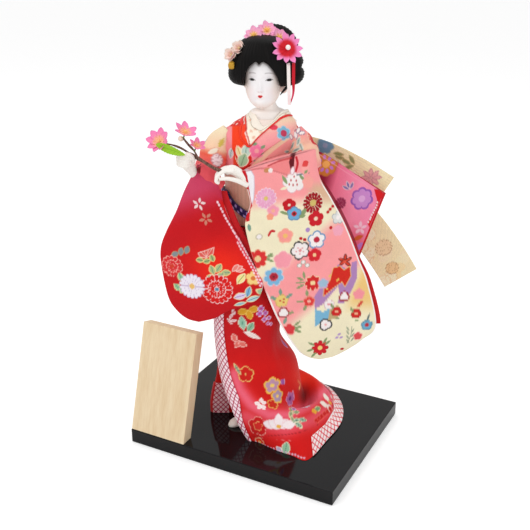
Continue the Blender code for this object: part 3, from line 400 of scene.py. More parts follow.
def shape(surface, points, colour, line=None, width=0.8, amount=1.0):
    """A filled outline given in pixels."""
    low, high = np.min(points, axis=0) - 2.0, np.max(points, axis=0) + 2.0
    shown = ((surface.pixels[:, :2] > low) & (surface.pixels[:, :2] < high)).all(axis=1) & (surface.facing > 0.0)
    near = np.flatnonzero(shown)
    signed = signed_distance(surface.u[near], surface.v[near], points)
    surface.mix(near, colour, inside(signed) * amount)
    if line is not None:
        surface.mix(near, line, inside(width / 2.0 - np.abs(signed)))


def leaves(surface, places, length, width, *colours):
    """Leaves of one kind, each at its own pixel and angle."""
    for px, py, angle in places:
        leaf(surface, px, py, length, width, angle, *colours)


def spray(surface, px, py, rx, ry, angles, length, width, *colours):
    """Leaves or petals round a pixel, each pointing away from it."""
    turns = [(px + rx * math.cos(math.radians(a)), py - ry * math.sin(math.radians(a)), a) for a in angles]
    leaves(surface, turns, length, width, *colours)


def spots(surface, px, py, offsets, rx, ry, *look, **more):
    """Spots of one kind, placed from a pixel."""
    for dx, dy in offsets:
        spot(surface, px + dx, py + dy, rx, ry, *look, **more)


def ramp(value, stops):
    """Colours along a value, from stops of (value, colour)."""
    at = [stop[0] for stop in stops]
    table = np.array([stop[1] for stop in stops], float)
    return np.stack([np.interp(value, at, table[:, k]) for k in range(3)], axis=-1)


# Materials

class Shading:
    """Short calls that build the nodes of a material or of the world."""

    def __init__(self, owner):
        owner.use_nodes = True
        self.owner = owner
        self.nodes, self.links = owner.node_tree.nodes, owner.node_tree.links
        self.shader = self.nodes.get("Principled BSDF") or self.nodes["Background"]

    def set(self, **inputs):
        self.feed(self.shader, {name.replace("_", " "): value for name, value in inputs.items()})

    def feed(self, node, inputs):
        """Links what comes from a node, and sets what is a number or a colour."""
        for name, value in inputs.items():
            if isinstance(value, bpy.types.NodeSocket):
                self.links.new(value, node.inputs[name])
            else:
                node.inputs[name].default_value = value

    def add(self, kind, output, inputs, **settings):
        node = self.nodes.new("ShaderNode" + kind)
        for name, value in settings.items():
            setattr(node, name, value)
        self.feed(node, inputs)
        return node.outputs[output]

    def place(self, which="Object"):
        return self.add("TexCoord", which, {})

    def noise(self, source, scale, detail=2.0, stretch=None, distortion=0.0):
        if stretch is not None:
            source = self.add("Mapping", "Vector", {"Vector": source, "Scale": stretch})
        return self.add("TexNoise", "Fac",
                        {"Vector": source, "Scale": scale, "Detail": detail, "Distortion": distortion})

    def math(self, operation, *values):
        return self.add("Math", "Value", dict(enumerate(values)), operation=operation)

    def span(self, value, to_low, to_high, low=0.3, high=0.7):
        return self.add("MapRange", "Result", {"Value": value, "From Min": low, "From Max": high,
                                               "To Min": to_low, "To Max": to_high})

    def ramp(self, value, colours, ends=(0.0, 1.0)):
        node = self.nodes.new("ShaderNodeValToRGB")
        for element, colour, end in zip(node.color_ramp.elements, colours, ends):
            element.color = (*colour, 1.0)
            element.position = end
        self.links.new(value, node.inputs["Fac"])
        return node.outputs["Color"]

    def tinted(self, factor):
        """The printed colour of each point, times a factor."""
        grey = self.add("CombineColor", "Color", {"Red": factor, "Green": factor, "Blue": factor})
        tint = self.add("Attribute", "Color", {}, attribute_name="tint")
        mixed = self.add("Mix", "Result", {"Factor": 1.0, "A": tint, "B": grey}, data_type="RGBA",
                         blend_type="MULTIPLY")
        self.set(Base_Color=mixed)

    def bump(self, height, strength, distance):
        self.set(Normal=self.add("Bump", "Normal", {"Height": height, "Strength": strength, "Distance": distance}))


def finish(name, roughness, metallic=0.0, sheen=0.0, coat=0.0, specular=0.5):
    m = Shading(bpy.data.materials.new(name))
    m.set(Roughness=roughness, Metallic=metallic, Sheen_Weight=sheen, Sheen_Roughness=0.4, Coat_Weight=coat,
          Coat_Roughness=0.04, Specular_IOR_Level=specular)
    return m


def crepe(name, roughness=0.75, sheen=0.08, strength=0.55, grain=1500.0):
    """Silk crepe: colours from the print, tiny crinkles and slightly uneven dye."""
    m = finish(name, roughness, sheen=sheen, specular=0.2)
    place = m.place()
    fine = m.noise(place, grain, 3.0, distortion=0.6)
    m.tinted(m.math("MULTIPLY", m.span(fine, 0.93, 1.04), m.span(m.noise(place, 60.0), 0.97, 1.02)))
    m.set(Roughness=m.span(fine, roughness + 0.08, roughness - 0.08))
    weave = m.add("TexVoronoi", "Distance", {"Vector": place, "Scale": grain * 0.8})
    m.bump(m.math("ADD", fine, weave), strength, 0.00025)
    return m.owner


def brocade():
    """Woven gold thread over a pale ground, ribbed across."""
    m = finish("gold_thread", 0.5, 0.12, 0.1, specular=0.4)
    place = m.place("UV")
    rib = m.add("TexWave", "Fac", {"Vector": place, "Scale": 60.0, "Distortion": 0.6}, bands_direction="X")
    thread = m.noise(place, 240.0, stretch=(1.0, 0.25, 1.0))
    m.tinted(m.math("MULTIPLY", m.span(rib, 0.88, 1.05, 0.0, 1.0), m.span(thread, 0.9, 1.06)))
    m.set(Roughness=m.span(thread, 0.5, 0.32))
    m.bump(m.math("ADD", rib, thread), 0.35, 0.0003)
    return m.owner


def painted(name, roughness, specular=0.4, coat=0.0, strength=0.1, grain=700.0):
    """A surface coloured point by point, with a fine powdery or satin skin."""
    m = finish(name, roughness, coat=coat, specular=specular)
    fine = m.noise(m.place(), grain, 3.0)
    m.tinted(m.span(fine, 0.985, 1.01))
    m.set(Roughness=m.span(fine, roughness - 0.05, roughness + 0.05))
    m.bump(fine, strength, 0.0002)
    return m.owner


def lacquer():
    m = finish("black_gloss_lacquer", 0.06, specular=0.22)
    place = m.place()
    haze = m.noise(place, 14.0, 3.0)
    m.set(Base_Color=m.ramp(haze, ((0.0045, 0.0045, 0.005), (0.009, 0.009, 0.010))),
          Roughness=m.span(haze, 0.045, 0.085))
    m.bump(m.math("ADD", m.noise(place, 900.0, 1.0), haze), 0.015, 0.0002)
    return m.owner


def pale_wood():
    """Planed pale wood whose grain runs up the plate."""
    m = finish("planed_pale_wood", 0.6, specular=0.3)
    place = m.place()
    streaks = m.noise(place, 1.0, 3.0, (900.0, 260.0, 7.0))
    bands = m.noise(place, 1.0, 2.0, (170.0, 60.0, 2.2))
    grain = m.math("MULTIPLY_ADD", bands, 0.6, m.math("MULTIPLY", streaks, 0.5))
    m.set(Base_Color=m.ramp(grain, (linear((220, 193, 153)), linear((232, 211, 176))), (0.36, 0.68)),
          Roughness=m.span(streaks, 0.68, 0.52))
    m.bump(streaks, 0.25, 0.0003)
    return m.owner


def brushed_steel():
    m = finish("brushed_steel", 0.35, metallic=1.0)
    scratches = m.noise(m.place(), 1.0, 3.0, (700.0, 700.0, 30.0))
    m.set(Base_Color=(0.5, 0.51, 0.52, 1.0), Roughness=m.span(scratches, 0.28, 0.5))
    m.bump(scratches, 0.2, 0.0001)
    return m.owner


def hair_material():
    m = finish("combed_black_hair", 0.5, specular=0.14)
    strands = m.noise(m.place("UV"), 1.0, 3.0, (520.0, 14.0, 1.0))
    m.tinted(m.span(strands, 0.75, 1.35))
    m.set(Roughness=m.span(strands, 0.44, 0.64))
    m.bump(strands, 0.4, 0.0003)
    return m.owner


def bark():
    m = finish("twig_bark", 0.75, specular=0.2)
    rough = m.noise(m.place(), 900.0, 4.0, (1.0, 1.0, 0.4))
    m.set(Base_Color=m.ramp(rough, (linear((62, 38, 34)), linear((150, 116, 100))), (0.35, 0.68)))
    m.bump(rough, 0.6, 0.0005)
    return m.owner


CREPE = crepe("printed_crepe")
LINING = crepe("lining_silk", 0.6, 0.35, 0.3, 2200.0)
BROCADE = brocade()
SKIN = painted("powder_white_skin", 0.5, 0.35)
PETAL = painted("silk_petal", 0.6, 0.3, strength=0.4, grain=1800.0)
HAIR = hair_material()

for nodes, material in ((("display_base",), lacquer()), (("name_plate", "body_core"), pale_wood()),
                        (("support_rod", "neck_pin"), brushed_steel())):
    for node in nodes:
        for place in NODES[node].material_slots:
            place.material = material


# Camera, floor and light

def linked(name, data, location):
    made = bpy.data.objects.new(name, data)
    made.location = location
    bpy.context.scene.collection.objects.link(made)
    return made


def aim_at(piece, target):
    piece.rotation_euler = (target - piece.location).to_track_quat("-Z", "Y").to_euler()


def studio():
    camera_data = bpy.data.cameras.new("view")
    camera_data.sensor_width = SENSOR_WIDTH
    camera_data.lens = FOCAL_PIXELS * SENSOR_WIDTH / IMAGE_SIZE
    camera_data.clip_start = 0.05
    camera = linked("view", camera_data, EYE)
    aim_at(camera, AIM)
    bpy.context.scene.camera = camera

    mesh = bpy.data.meshes.new("floor")
    corners = [(FLOOR_REACH * x, FLOOR_REACH * y, 0.0) for x, y in ((-1, -1), (1, -1), (1, 1), (-1, 1))]
    mesh.from_pydata(corners, [], [(0, 1, 2, 3)])
    floor = linked("floor", mesh, (0.0, 0.0, -FLOOR_DROP))
    m = Shading(bpy.data.materials.new("paper_floor"))
    m.bump(m.noise(m.place(), 300.0), 0.05, 0.0003)
    m.set(Base_Color=(0.93, 0.93, 0.93, 1.0), Roughness=0.9, Specular_IOR_Level=0.1,
          Emission_Color=(1.0, 1.0, 1.0, 1.0),
          Emission_Strength=m.math("MULTIPLY", m.add("LightPath", "Is Camera Ray", {}), FLOOR_GLOW))
    mesh.materials.append(m.owner)

    room = bpy.data.worlds.new("studio")
    bpy.context.scene.world = room
    m = Shading(room)
    seen = m.math("MAXIMUM", m.add("LightPath", "Is Camera Ray", {}),
                  m.add("LightPath", "Is Transmission Ray", {}))
    m.set(Color=(1.0, 1.0, 1.0, 1.0), Strength=m.span(seen, ROOM_LEVEL, 1.0, 0.0, 1.0))

    lamps = (("key", (-0.9, -1.3, 1.7), 1.3, 11.0), ("fill", (1.3, -0.8, 1.0), 1.4, 5.0),
             ("top", (0.0, 0.5, 1.9), 1.4, 5.0))
    for name, place, size, power in lamps:
        data = bpy.data.lights.new(name, "AREA")
        data.shape = "SQUARE"
        data.size = size
        data.energy = power
        aim_at(linked(name, data, place), Vector((0.0, 0.0, 0.25)))


studio()
bpy.context.scene.view_settings.view_transform = "Standard"


# Shape makers, in doll millimetres

def tube_points(path, radii, rows, cols, flat=1.0):
    """Rings round a smooth path; flat below 1 squeezes them across the side direction."""
    line = spline(path, rows)
    wide = spline([[r] for r in radii], rows)[:, 0]
    side = np.array((0.0, 1.0, 0.0))
    rings = []
    for index in range(rows):
        ahead = line[min(index + 1, rows - 1)] - line[max(index - 1, 0)]
        ahead = ahead / np.linalg.norm(ahead)
        side = side - ahead * (side @ ahead)
        side = side / np.linalg.norm(side)
        other = np.cross(ahead, side)
        angle = np.linspace(0.0, math.tau, cols, endpoint=False)[:, None]
        rings.append(line[index] + (side * np.cos(angle) * flat + other * np.sin(angle)) * wide[index])
    return np.array(rings)


def capped(rings, rounds=3, bulge=0.0):
    """The rings with both ends drawn in to a point."""
    first, last = rings[0], rings[-1]
    start, end = first.mean(axis=0), last.mean(axis=0)
    into = (start - rings[1].mean(axis=0)), (end - rings[-2].mean(axis=0))
    into = [v / max(np.linalg.norm(v), 1e-9) for v in into]
    head, tail_rows = [], []
    for step in range(rounds):
        share = math.sin(math.pi / 2.0 * (step + 1) / rounds)
        keep = math.cos(math.pi / 2.0 * (step + 1) / rounds)
        head.insert(0, start + (first - start) * keep + into[0] * bulge * share)
        tail_rows.append(end + (last - end) * keep + into[1] * bulge * share)
    return np.concatenate((np.array(head), rings, np.array(tail_rows)))


FRONT_BULGE = 0.35
BAG_ENDS = 5


class Bag:
    """A flat sleeve or tail: rows of (x1, z1, x2, z2, thickness share) over a depth in y."""

    def __init__(self, rows, depth, thick, edge):
        self.table = np.array(rows, float)
        self.depth, self.thick, self.edge = depth, thick, edge

    def ring_grid(self, count, front, back, fold=None):
        rows = spline(self.table, count)
        part = np.concatenate((np.linspace(0.0, 1.0, front), np.ones(BAG_ENDS), np.linspace(1.0, 0.0, back),
                               np.zeros(BAG_ENDS)))
        turn = np.concatenate((np.zeros(front), np.linspace(0.0, math.pi, BAG_ENDS + 2)[1:-1],
                               np.full(back, math.pi), np.linspace(math.pi, math.tau, BAG_ENDS + 2)[1:-1]))
        self.part = part
        x1, z1, x2, z2, share = columns(rows, 5)
        x = x1 + (x2 - x1) * part
        z = z1 + (z2 - z1) * part
        swell = np.sin(math.pi * np.clip(part, 0.0, 1.0)) ** 0.7
        extra = np.maximum(self.thick * share - self.edge, 0.0) * swell
        near = self.depth(x) - FRONT_BULGE * extra
        far = near + self.edge + extra
        y = near + (far - near) * (1.0 - np.cos(turn)) / 2.0
        round_out = np.sin(turn) * self.edge / 2.0
        x = x + round_out
        grid = np.stack((x, y, z), axis=-1)
        if fold is not None:
            grid[..., 1] += fold(grid[..., 0], grid[..., 2])
        middle = grid.copy()
        middle[..., 1] = (near + far) / 2.0
        return np.concatenate((middle[:1], grid, middle[-1:]))


def left_depth(x):
    return -58.0 + 40.0 * (1.0 - np.exp(-(x + 27.0) / 90.0))


def right_depth(x):
    return -29.0 - 21.0 * (x + 120.0) / 110.0


def wing_depth(x):
    return 10.0 + 0.22 * (x - 50.0)


LEFT_SLEEVE_ROWS = (
    (-26, 336, 50, 353, 1.25), (-22, 319, 55, 323, 1.3), (-18, 298, 69, 297, 1.2), (-23, 280, 82, 273, 1.1),
    (-22, 264, 92, 251, 1.0), (-14, 230, 103, 223, 1.0), (-2, 194, 115, 193, 0.9), (14, 152, 127, 139, 0.75),
    (34, 116, 111, 120, 0.6), (47, 103, 94, 108, 0.45), (61, 98, 78, 100, 0.3),
)
RIGHT_SLEEVE_ROWS = (
    (-75, 337, -52, 314, 1.2), (-90, 307, -50, 298, 1.1), (-100, 283, -42, 274, 1.0), (-113, 257, -28, 247, 1.0),
    (-120, 237, -16, 224, 1.0), (-120, 214, -7, 205, 0.9), (-114, 178, -11, 186, 0.8), (-105, 162, -25, 175, 0.6),
    (-93, 152, -44, 167, 0.45), (-80, 149, -62, 155, 0.3),
)
WING_ROWS = ((36, 347, 36, 302, 1.0), (62, 337, 56, 280, 1.0), (86, 321, 72, 250, 1.0), (112, 302, 89, 227, 1.0),
             (136, 285, 108, 207, 0.9))

RED = (196, 22, 34)
DEEP_RED = (160, 14, 30)
WHITE = (248, 240, 238)
CREAM = (246, 236, 202)
PINK = (254, 160, 162)
BLUE = (110, 172, 214)
GREEN = (138, 158, 108)
DUSK_GREEN = (120, 160, 140)
YELLOW = (238, 196, 96)
BROWN = (70, 30, 24)


def print_left_sleeve(s):
    u, v = s.u, s.v
    slope = v + 0.85 * (u - 300.0)
    top = 1.0 - ease(v + 0.10 * (u - 270.0), 196.0, 212.0)
    belt = ease(slope, 240.0, 262.0) * (1.0 - ease(slope, 306.0, 326.0))
    tan = ease(u, 303.0, 318.0) * (1.0 - ease(v, 192.0, 212.0)) * ease(v, 178.0, 190.0)
    gold = ease(u + 0.4 * (v - 290.0), 346.0, 360.0) * (1.0 - ease(v, 296.0, 318.0)) * ease(v, 256.0, 275.0)
    s.ground(CREAM, (PINK, np.maximum(top, belt)), ((214, 186, 146), 0.8 * tan), ((242, 202, 128), gold))
    # pleated ribbons
    shape(s, ((338, 264), (345, 268), (351, 268), (352, 262), (357, 261), (357, 278), (352, 290), (344, 303),
              (337, 304), (340, 296), (338, 286), (329, 297), (322, 305), (315, 309), (314, 297), (320, 288),
              (330, 283)),
          (178, 132, 186))
    shape(s, ((333, 268), (340, 266), (344, 270), (350, 266), (351, 276), (345, 287), (342, 282), (335, 287),
              (323, 297), (324, 288), (330, 280)), (214, 40, 28), line=(236, 190, 120), width=0.7)
    shape(s, ((315, 309), (323, 312), (330, 308), (329, 318), (322, 322), (315, 327)), (122, 182, 214))
    shape(s, ((330, 309), (338, 305), (342, 312), (336, 319), (328, 320)), (196, 172, 124))
    shape(s, ((316, 297), (322, 293), (322, 302), (316, 308)), (178, 132, 186))
    spot(s, 330, 276, 1.6, 1.0, YELLOW, 40)
    spot(s, 338, 280, 1.8, 1.1, YELLOW, 40)
    spot(s, 327, 289, 1.4, 0.9, YELLOW, 40)
    # maple leaf
    spray(s, 345, 261, 3.4, 3.4, (90, 25, 155, -40, 220), 4.2, 1.7, (214, 60, 40), BROWN)
    spot(s, 345, 261.5, 2.0, 2.0, (224, 80, 60))
    # flowers from the shoulder down
    bloom(s, 294, 182, 10.5, WHITE, (226, 190, 196), None, 5, 0.3, 0.7, turn=0.3)
    spots(s, 294, 182, ((-3, -2), (2, -1), (-1, 3), (3, 3), (-5, 2), (0, -5)), 0.8, 1.1, RED)
    leaf(s, 285, 180, 5, 1.6, 120, GREEN)
    leaf(s, 284, 188, 4, 1.4, 200, CREAM)
    leaf(s, 302, 178, 4.5, 1.4, -50, GREEN)
    stroke(s, ((297, 175), (303, 174), (309, 172)), 0.8, (110, 120, 130))
    daisy(s, 266, 198, 10, (240, 168, 202), (250, 220, 232), 16, (226, 200, 110), 1)
    bloom(s, 273, 211, 6, (248, 160, 182), (250, 190, 190), (250, 180, 150))
    bloom(s, 270, 217, 3.5, (250, 160, 130), None, None)
    daisy(s, 313, 203, 10.5, DEEP_RED, (244, 226, 200), 15, (214, 190, 110), 1, heart_size=0.3)
    bloom(s, 289, 205, 6.5, RED, None, (240, 220, 200), heart_size=0.2)
    bloom(s, 294, 214, 7, BLUE, (90, 130, 170), (190, 40, 50), heart_size=0.36)
    spot(s, 294, 214, 1.1, 1.1, BROWN)
    leaf(s, 304, 212, 4, 2.2, 60, GREEN)
    leaf(s, 302, 216, 3.5, 2.0, 10, GREEN)
    leaf(s, 284, 213, 4.5, 1.4, 160, GREEN)
    bloom(s, 316, 219, 8, (206, 26, 42), None, (246, 214, 190), heart_size=0.24)
    spots(s, 0, 0, ((330, 209), (333, 206), (328, 212), (331, 228), (301, 238), (305, 240)), 1.7, 1.7, RED)
    bloom(s, 338, 217, 6.5, (224, 224, 220), (160, 170, 176), WHITE, 5, 0.34, 0.8)
    spot(s, 308, 230, 2.3, 2.3, (176, 140, 200))
    stroke(s, ((268.5, 235.5), (271, 231), (274.5, 231)), 2.4, (206, 40, 46))
    spot(s, 259, 236.5, 3.0, 2.6, WHITE, line=(200, 190, 160))
    leaf(s, 249, 228, 4, 1.8, 100, DUSK_GREEN)
    bloom(s, 285, 236, 7.5, (252, 158, 150), (250, 180, 150), (244, 190, 110))
    bloom(s, 338, 231, 5.5, (248, 170, 190), None, None)
    bloom(s, 317, 240, 9, WHITE, (92, 150, 196), (190, 36, 60), 5, 0.3, 1.4, heart_size=0.34)
    bloom(s, 300, 250.5, 9.5, WHITE, (40, 42, 46), (232, 150, 150), 5, 0.3, 1.5, heart_size=0.16, turn=0.4)
    for angle in range(0, 360, 72):
        a = math.radians(angle + 20)
        spot(s, 300 + 3.6 * math.cos(a), 250.5 + 3.6 * math.sin(a), 0.7, 0.7, (224, 110, 120))
    bloom(s, 314.5, 255, 7, (216, 34, 48), None, (246, 200, 150), heart_size=0.26)
    spots(s, 303.5, 264, ((-4, 1), (0, -1.5), (4, 1)), 2.1, 1.9, WHITE, line=(170, 176, 160))
    bloom(s, 258, 259, 10, (222, 50, 50), (246, 190, 150), (240, 204, 150), 8, 0.28, 0.8)
    spray(s, 267, 258, 3, 6, (35, 10, -25), 4, 1.2, GREEN)
    bloom(s, 283, 260, 9, (250, 158, 172), (252, 178, 186), None)
    bloom(s, 274, 277, 10, (126, 184, 222), (196, 214, 230), (176, 34, 56), 7, 0.28, 1.0, heart_size=0.45)
    bloom(s, 274, 277, 4.4, (176, 34, 56), (214, 110, 110), BROWN, 9, 0.2, 0.6, heart_size=0.25)
    bloom(s, 313, 283, 8.5, (214, 36, 40), (250, 220, 180), (250, 216, 160), 8, 0.3, 0.7)
    spray(s, 305, 283, 5, 8, (150, 180, 205, 100), 4.5, 1.3, GREEN)
    bloom(s, 323, 283, 5.5, (160, 190, 214), (220, 170, 200), None)
    bloom(s, 309, 301, 6, (226, 60, 60), (240, 150, 130), (250, 200, 180))
    spray(s, 308, 301, 8, 8, (95, 180, 250), 3.6, 1.5, GREEN)
    bloom(s, 281.5, 300.5, 7, (238, 208, 120), (220, 176, 100), None)
    spots(s, 281.5, 300.5, ((-1.5, 0.5), (2.5, -2), (2, 2)), 0.9, 0.9, (206, 50, 50))
    spray(s, 281.5, 300.5, 8.5, 8.5, (95, 30, 160, 270), 3.8, 1.7, DUSK_GREEN)
    bloom(s, 283.5, 312.5, 6, WHITE, (170, 30, 44), None, 3, 0.3, 1.6)
    leaf(s, 291, 312, 3.5, 1.6, 10, GREEN)
    leaf(s, 285, 321, 4, 1.8, 250, DUSK_GREEN)
    bloom(s, 344.5, 297, 5.5, WHITE, (168, 30, 44), None, 3, 0.25, 1.6)
    bloom(s, 329, 305, 5.5, WHITE, (220, 180, 190), (232, 140, 150))
    for px, py in ((336.5, 312), (356, 314)):
        bloom(s, px, py, 5.4, (206, 36, 34), (150, 20, 26), (244, 190, 150), 3, 0.2, 0.6)
        leaf(s, px - 4, py - 5, 3.2, 1.5, 120, GREEN)
        leaf(s, px + 1, py + 6.5, 3.0, 1.3, 200, GREEN)
    bloom(s, 325.5, 325, 6.6, WHITE, (44, 44, 48), (240, 160, 160), 3, 0.25, 1.6, heart_size=0.2, turn=0.5)
    bloom(s, 359, 295, 6, (248, 150, 160), None, None)
    leaf(s, 360, 303, 5.5, 1.6, 50, (214, 60, 50))
    bloom(s, 289, 329.5, 7, (224, 60, 66), (246, 160, 150), None, 5, 0.3)
    spray(s, 293, 328, 5, 7, (40, 5, -20), 4.4, 1.4, GREEN)
    spots(s, 339, 336, ((0, -2), (-2, 1.5), (2, 1.5)), 1.9, 1.3, (190, 160, 206), 30)
    for step in range(7):
        leaf(s, 350 + (2.4 if step % 2 else -2.2), 341 - step * 2.0, 3.2, 0.9, 60 if step % 2 else 120,
             (158, 168, 140))
    stroke(s, ((347, 343), (351, 335), (352, 327)), 0.7, (140, 150, 120))
    bloom(s, 358, 336, 5, (226, 80, 84), (248, 190, 180), None)
    bloom(s, 367, 325, 6, (110, 170, 200), (80, 130, 160), (190, 50, 60), heart_size=0.36)
    leaf(s, 368, 318, 4.5, 1.2, 70, (90, 110, 110))
    bloom(s, 320, 348, 8.5, (212, 30, 42), (160, 20, 34), (244, 214, 130), 8, 0.35, 0.6, heart_size=0.28)
    spray(s, 320, 348, 10, 9, (150, 195, 40, 60, 230), 4, 1.3, GREEN)
    spot(s, 342, 349, 2.0, 1.4, RED)
    bloom(s, 308, 182, 6, (252, 168, 158), None, None)


def print_right_sleeve(s):
    u, v = s.u, s.v
    magenta = 1.0 - ease(v + 0.35 * (u - 200.0), 186.0, 222.0)
    strip = ease(u - (215 + (v - 190) * 0.36), -2.0, 8.0) * (1.0 - ease(v, 205.0, 240.0)) * ease(v, 188, 198)
    edge = np.interp(v, (199, 222, 245, 264, 286), (217, 229, 243, 254, 264))
    beyond = ease(u - edge, 0.5, 2.5) * ease(v, 196, 206)
    s.ground((196, 10, 22), ((240, 38, 16), hill(u, v, 222, 266, 36.0, 24.0)), ((206, 64, 98), magenta),
             ((206, 60, 110), 0.7 * strip), ((222, 18, 14), beyond))
    spray(s, 199, 204, 4.03, 4.03, range(80, 440, 72), 2.86, 1.365, (240, 214, 214))
    spray(s, 206, 219, 4.03, 4.03, range(50, 410, 72), 2.86, 1.365, (206, 130, 110))
    shape(s, ((198, 253), (206, 250.5), (214, 247.5), (213, 254), (206, 258), (200, 257)), (224, 90, 80),
          line=(244, 190, 180))
    for k in range(4):
        stroke(s, ((206, 257), (200.5 + 4 * k, 252 - 1.3 * k)), 0.5, (246, 200, 190))
    leaves(s, ((200, 260, 0), (207, 261, 20), (212, 258, 110)), 4, 2.8, (170, 184, 120), (236, 214, 140),
           (60, 90, 70))
    leaves(s, ((212, 270, 110), (219, 268, 60), (226, 273, 10), (220, 276, 40), (212, 277, 170)), 5.2, 3.2,
           (178, 190, 130), (240, 216, 150), (80, 130, 130))
    leaves(s, ((181, 252, 80), (175, 254, 30), (187, 250, 70)), 4.6, 2.8, (130, 140, 146), (176, 150, 110))
    daisy(s, 172, 266, 11, (216, 44, 48), (246, 170, 160), 14, (210, 60, 40), 2, heart_size=0.2)
    leaves(s, ((181, 277, 110), (187, 281, 20), (178, 287, 140), (183, 289, 60)), 5.4, 3.4, (150, 196, 150),
           (240, 220, 160), (60, 110, 110))
    daisy(s, 217, 289.5, 15.5, (218, 22, 20), (250, 214, 214), 18, (90, 130, 160), 3, heart_size=0.13)
    daisy(s, 192, 286, 13, (240, 232, 244), (196, 176, 206), 18, (236, 190, 110), 1, heart_size=0.22)
    for angle in (20, 60, 100):
        a = math.radians(angle)
        leaf(s, 236 + 4 * math.cos(a), 271 - 3 * math.sin(a), 5, 2.2, angle * 0.5, (236, 130, 120),
             (250, 200, 190))
    leaf(s, 241, 279, 7, 3.6, 55, (244, 226, 150), (250, 236, 190), (120, 150, 90))
    bloom(s, 253, 278, 7.5, (248, 210, 130), (220, 140, 80), (224, 120, 60), 5, 0.3)
    leaf(s, 240, 296, 7, 3.6, 20, (222, 206, 234), (240, 220, 170), (150, 90, 170))
    leaf(s, 248, 292, 6.4, 3.2, 75, (130, 180, 210), (240, 220, 170), (70, 110, 150))
    leaf(s, 253, 299, 7.5, 3.0, 25, (180, 214, 214), (240, 220, 170), (80, 120, 150))
    leaf(s, 240, 304, 6.5, 1.9, 20, (150, 190, 200), (230, 220, 180))
    leaf(s, 262, 291, 4, 3.0, 45, (160, 190, 150), (230, 214, 160))


def beads(s, points, radius, gap, colour):
    """A row of small dots through pixels."""
    line = spline([[x, y] for x, y in points], 200)
    walked = 0.0
    last = line[0]
    for here in line[1:]:
        walked += float(np.hypot(*(here - last)))
        if walked >= gap:
            walked = 0.0
            spot(s, here[0], here[1], radius, radius * 0.75, colour, -60)
        last = here


def scatter(s, kinds, spacing, seed, test):
    """Small motifs over points that pass a test, none nearer than the spacing in pixels to another."""
    chance = random.Random(seed)
    allowed = np.flatnonzero(test)
    chosen = []
    for _ in range(900):
        if not len(allowed):
            return
        index = allowed[chance.randrange(len(allowed))]
        place = s.places[index]
        if all(np.abs(place - other).max() > spacing * PIXEL for other in chosen):
            chosen.append(place)
            kind = kinds[chance.randrange(len(kinds))]
            kind(s, index, chance.uniform(0, math.tau))


def kind_ume(fill, line, heart, radius):
    return lambda s, index, turn: bloom(s, 0, 0, radius, fill, line, heart, turn=turn, index=index)


def kind_daisy(fill, line, heart, radius):
    return lambda s, index, turn: daisy(s, 0, 0, radius, fill, line, 13, heart, 1, turn=turn, index=index)


def kind_leaf(fill, line, length):
    return lambda s, index, turn: leaf(s, 0, 0, length, length * 0.42, math.degrees(turn), fill, line, index=index)


PALE_KINDS = (kind_ume((206, 30, 44), None, (246, 214, 180), 7),
              kind_ume(WHITE, (92, 150, 196), (190, 36, 60), 7.5),
              kind_ume((252, 158, 160), (250, 190, 170), (244, 196, 120), 7), kind_leaf(GREEN, None, 5),
              kind_daisy((214, 60, 70), (250, 224, 200), (238, 200, 110), 8),
              kind_ume((130, 184, 220), WHITE, RED, 6))
RED_KINDS = (kind_daisy((240, 232, 240), (200, 170, 200), (236, 190, 110), 10),
             kind_leaf((170, 194, 140), (240, 220, 160), 6),
             kind_daisy((216, 30, 28), (250, 210, 205), (236, 190, 110), 11),
             kind_ume((240, 190, 90), (220, 120, 60), RED, 7),
             kind_leaf((170, 194, 150), (240, 220, 160), 6))


def soft_fold(x, z):
    """Gentle hanging folds of the left sleeve."""
    high = ease(z, 230.0, 330.0)
    low = ease(z, 120.0, 260.0)
    return 1.3 * high * np.sin((x + 20.0) / 9.5 + z / 60.0) + 0.8 * low * np.sin((x - z * 0.25) / 17.0)


def red_fold(x, z):
    arm = np.exp(-(((x + 66.0) * 0.8 + (z - 300.0) * 0.45) / 11.0) ** 2) * ease(z, 255.0, 300.0)
    dent = np.exp(-(((x + 48.0) / 15.0) ** 2 + ((z - 262.0) / 24.0) ** 2))
    return -4.5 * arm + 3.6 * dent + 0.8 * np.sin((x + 0.3 * z) / 13.0) * ease(z, 150.0, 240.0)


def rounded(value, power):
    """A sine or cosine bent so that a circle's section becomes a rounded box."""
    return np.copysign(np.abs(value) ** (2.0 / power), value)


def super_ball(centre, radii, rows, cols, power=2.0, fold=None):
    """A ball or a rounded box, from its top down."""
    tall = np.linspace(0.03, math.pi - 0.03, rows)[:, None]
    turn = circle(cols)
    x = radii[0] * rounded(np.sin(tall), power) * rounded(np.sin(turn), power)
    y = -radii[1] * rounded(np.sin(tall), power) * rounded(np.cos(turn), power)
    z = radii[2] * rounded(np.cos(tall), power) + 0.0 * turn
    grid = np.stack((x, y, z), axis=-1)
    if fold is not None:
        grid = grid * (1.0 + fold(x, y, z))[..., None]
    return grid + np.array(centre, float)


def limb(path, radii, rows, cols, ripple, count, colour):
    grid = tube_points(path, radii, rows, cols)
    middle = grid.mean(axis=1, keepdims=True)
    share = np.linspace(0.0, 1.0, rows)[:, None]
    angle = circle(cols)
    wave = 1.0 + ripple * np.sin(count * math.tau * share + 2.0 * np.sin(angle)) * np.sin(math.pi * share)
    grid = middle + (grid - middle) * wave[..., None]
    return Surface(capped(grid, 4, 1.0), True, colour=colour)


